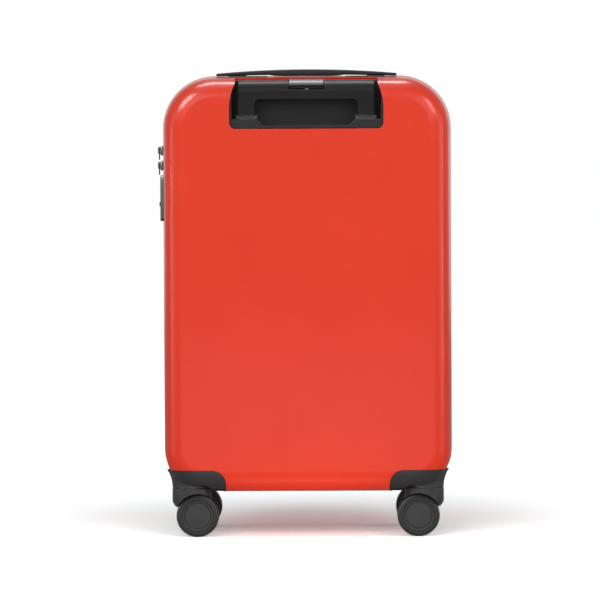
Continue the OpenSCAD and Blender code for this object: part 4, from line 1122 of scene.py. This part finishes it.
def wheel_shape():
    """A dished hub inside a soft tyre. The outer face, at height 0, has two turned grooves."""
    ring = 0.0009
    profile = [(0.0, 0.0011), (0.0148, 0.0011), (0.0150, 0.0013), (0.0152, 0.0019),
               (0.0160, 0.0019), (0.0163, 0.0006), (hub_r - 0.0003, 0.0004), (hub_r, 0.0016),
               (hub_r + ring, 0.0016), (hub_r + ring + 0.0003, 0.0), (0.0212, 0.0),
               (0.0215, 0.0006), (0.0220, 0.0006), (0.0223, 0.0), (wheel_r - 0.0022, 0.0002),
               (wheel_r - 0.0009, 0.0008), (wheel_r - 0.0002, 0.0020), (wheel_r, 0.0034),
               (wheel_r, wheel_w - 0.0034), (wheel_r - 0.0002, wheel_w - 0.0020),
               (wheel_r - 0.0009, wheel_w - 0.0008), (wheel_r - 0.0022, wheel_w),
               (hub_r, wheel_w), (hub_r, wheel_w - 0.0006), (0.0060, wheel_w - 0.0006),
               (0.0060, wheel_w), (0.0032, wheel_w), (0.0032, 0.0034), (0.0, 0.0034)]
    wheel = turned(profile, (0.0, 0.0, 0.0), "Y", 72)
    for f in wheel.faces:
        middle = f.calc_center_median()
        f.material_index = 1 if math.hypot(middle.x, middle.z) > hub_r + 0.0003 else 0
    return wheel


housing_plastic = moulded("black_housing_plastic", 0.025, rough=0.48, grain=0.35)
fork_plastic = moulded("black_fork_plastic", 0.024, rough=0.40, grain=0.1)
hub_plastic = moulded("dark_wheel_hub", 0.027, rough=0.42, grain=0.1)
tyre_rubber = moulded("black_wheel_tyre", 0.021, rough=0.55, grain=0.3)
axle_steel = cast_metal("axle_steel", 0.5, 0.3)
half_track = web_half + 0.0004 + wheel_w


def at_corner(bm, right, front):
    """A mirrored copy of a shape drawn for the left rear corner."""
    copy = bm.copy()
    sx, sy = (-1.0 if right else 1.0), (-1.0 if front else 1.0)
    bmesh.ops.scale(copy, vec=(sx, sy, 1.0), verts=copy.verts[:])
    if sx * sy < 0:
        bmesh.ops.reverse_faces(copy, faces=copy.faces[:])
    return copy


housing_form, fork_form, wheel_form = housing_shape(), fork_shape(), wheel_shape()
for front in (False, True):
    for right in (False, True):
        corner = ("front_" if front else "rear_") + ("right" if right else "left")
        housing = finished(at_corner(housing_form, right, front), corner + "_corner_housing",
                           housing_plastic, 30)
        ease_edges(housing, 0.0005, 2, 40)
        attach(housing, ("front" if front else "back") + "_half")
        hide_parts(corner + "_housing")

        fork = finished(at_corner(fork_form, right, front), corner + "_caster_fork",
                        fork_plastic, 30)
        ease_edges(fork, 0.0006, 2, 40)
        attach(fork, corner + "_caster")
        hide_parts(corner + "_fork")

        for which, flip in (("a", 1.0), ("b", -1.0)):
            form = wheel_form.copy()
            bmesh.ops.translate(form, vec=(0.0, -half_track, 0.0), verts=form.verts[:])
            bmesh.ops.scale(form, vec=(1.0, flip, 1.0), verts=form.verts[:])
            if flip < 0:
                bmesh.ops.reverse_faces(form, faces=form.faces[:])
            bmesh.ops.translate(form, vec=(axle_x, -swivel_y, wheel_r), verts=form.verts[:])
            wheel = finished(at_corner(form, right, front), corner + "_wheel_" + which + "_tyre",
                             hub_plastic, 28)
            form.free()
            wheel.data.materials.append(tyre_rubber)
            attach(wheel, corner + "_roller_" + which)
            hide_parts(corner + "_wheel_" + which)
        finish_node(corner + "_axle", axle_steel)
for form in (housing_form, fork_form, wheel_form):
    form.free()

# ---- Screws, pins and races ----
# Zinc-plated screws hold the casters, the tray and the feet. Each fork hangs on a steel pin, and a
# thrust race let into its top bears on the housing's boss.

zinc = cast_metal("zinc_plated_steel", 0.48, 0.34)
for name in ("back_screws", "front_screws", "rear_swivel_pins", "front_swivel_pins",
             "rear_swivel_races", "front_swivel_races"):
    finish_node(name, zinc)

# ---- Packing straps ----
# Two webbing straps across the back half, sewn to the lining at their ends and closed in the
# middle by side-release buckles.

strap_y, strap_half_l, strap_half_w, strap_thick = -0.0830, 0.141, 0.0125, 0.0014
buckle_half_w, buckle_half_h, buckle_thick = 0.018, 0.017, 0.005

webbing, coat, surface = new_finish("black_webbing")
place = add_step(coat, "TexCoord")["Object"]
ribs = add_step(coat, "TexWave", {"Vector": place, "Scale": 220.0, "Distortion": 0.4},
                bands_direction="X")["Fac"]
rows = add_step(coat, "TexWave", {"Vector": place, "Scale": 160.0}, bands_direction="Z")["Fac"]
woven = reckon(coat, "MULTIPLY", ribs, rows)
feed(coat, surface, {
    "Base Color": two_tones(coat, woven, (0.014, 0.014, 0.015), (0.050, 0.050, 0.053), 0.0, 1.0),
    "Roughness": 0.8, "Sheen Weight": 0.3, "Normal": relief(coat, woven, 0.7, 0.0003)})
buckle_plastic = moulded("black_buckle_plastic", 0.024, rough=0.38)

for level, z in (("lower", 0.190), ("upper", 0.370)):
    run = block_of((-strap_half_l, strap_y, z - strap_half_w),
                   (strap_half_l, strap_y + strap_thick, z + strap_half_w))
    round_edges(run, edges_along(run, "X"), 0.0005, 2)
    for i in range(1, 48):
        bmesh.ops.bisect_plane(run, geom=run.verts[:] + run.edges[:] + run.faces[:], dist=1e-7,
                               plane_co=(strap_half_l * (i / 24 - 1), 0.0, 0.0),
                               plane_no=(1.0, 0.0, 0.0))
    for v in run.verts:
        slack = 1 - (v.co.x / strap_half_l) ** 2
        v.co.z -= 0.0012 * slack
        v.co.y += 0.0004 * slack * math.sin(v.co.x * 150.0)
    packing_strap = finished(run, level + "_packing_strap", webbing, 50)
    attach(packing_strap, "back_half")
    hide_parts("packing_straps")

    y0 = strap_y + strap_thick
    buckle = block_of((-buckle_half_w, y0, z - buckle_half_h),
                      (buckle_half_w, y0 + buckle_thick, z + buckle_half_h))
    round_edges(buckle, edges_along(buckle, "Y"), 0.004, 6)
    soften(buckle, 0.0009, 3)
    cuts = [block_of((-0.0004, y0 + 0.003, z - 0.02), (0.0004, y0 + 0.02, z + 0.02))]
    for s in (-1.0, 1.0):
        cuts.append(rod(0.0042, 0.02, "Y", (0.0065, y0 + 0.0135, z + s * 0.0165), 28))
        cuts.append(block_of((s * 0.0150 - 0.0012, y0 + 0.0034, z - 0.0125),
                             (s * 0.0150 + 0.0012, y0 + 0.02, z + 0.0125)))
    buckle = finished(carve(buckle, cuts), level + "_side_buckle", buckle_plastic, 30)
    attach(buckle, "back_half")
    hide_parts("strap_buckles")
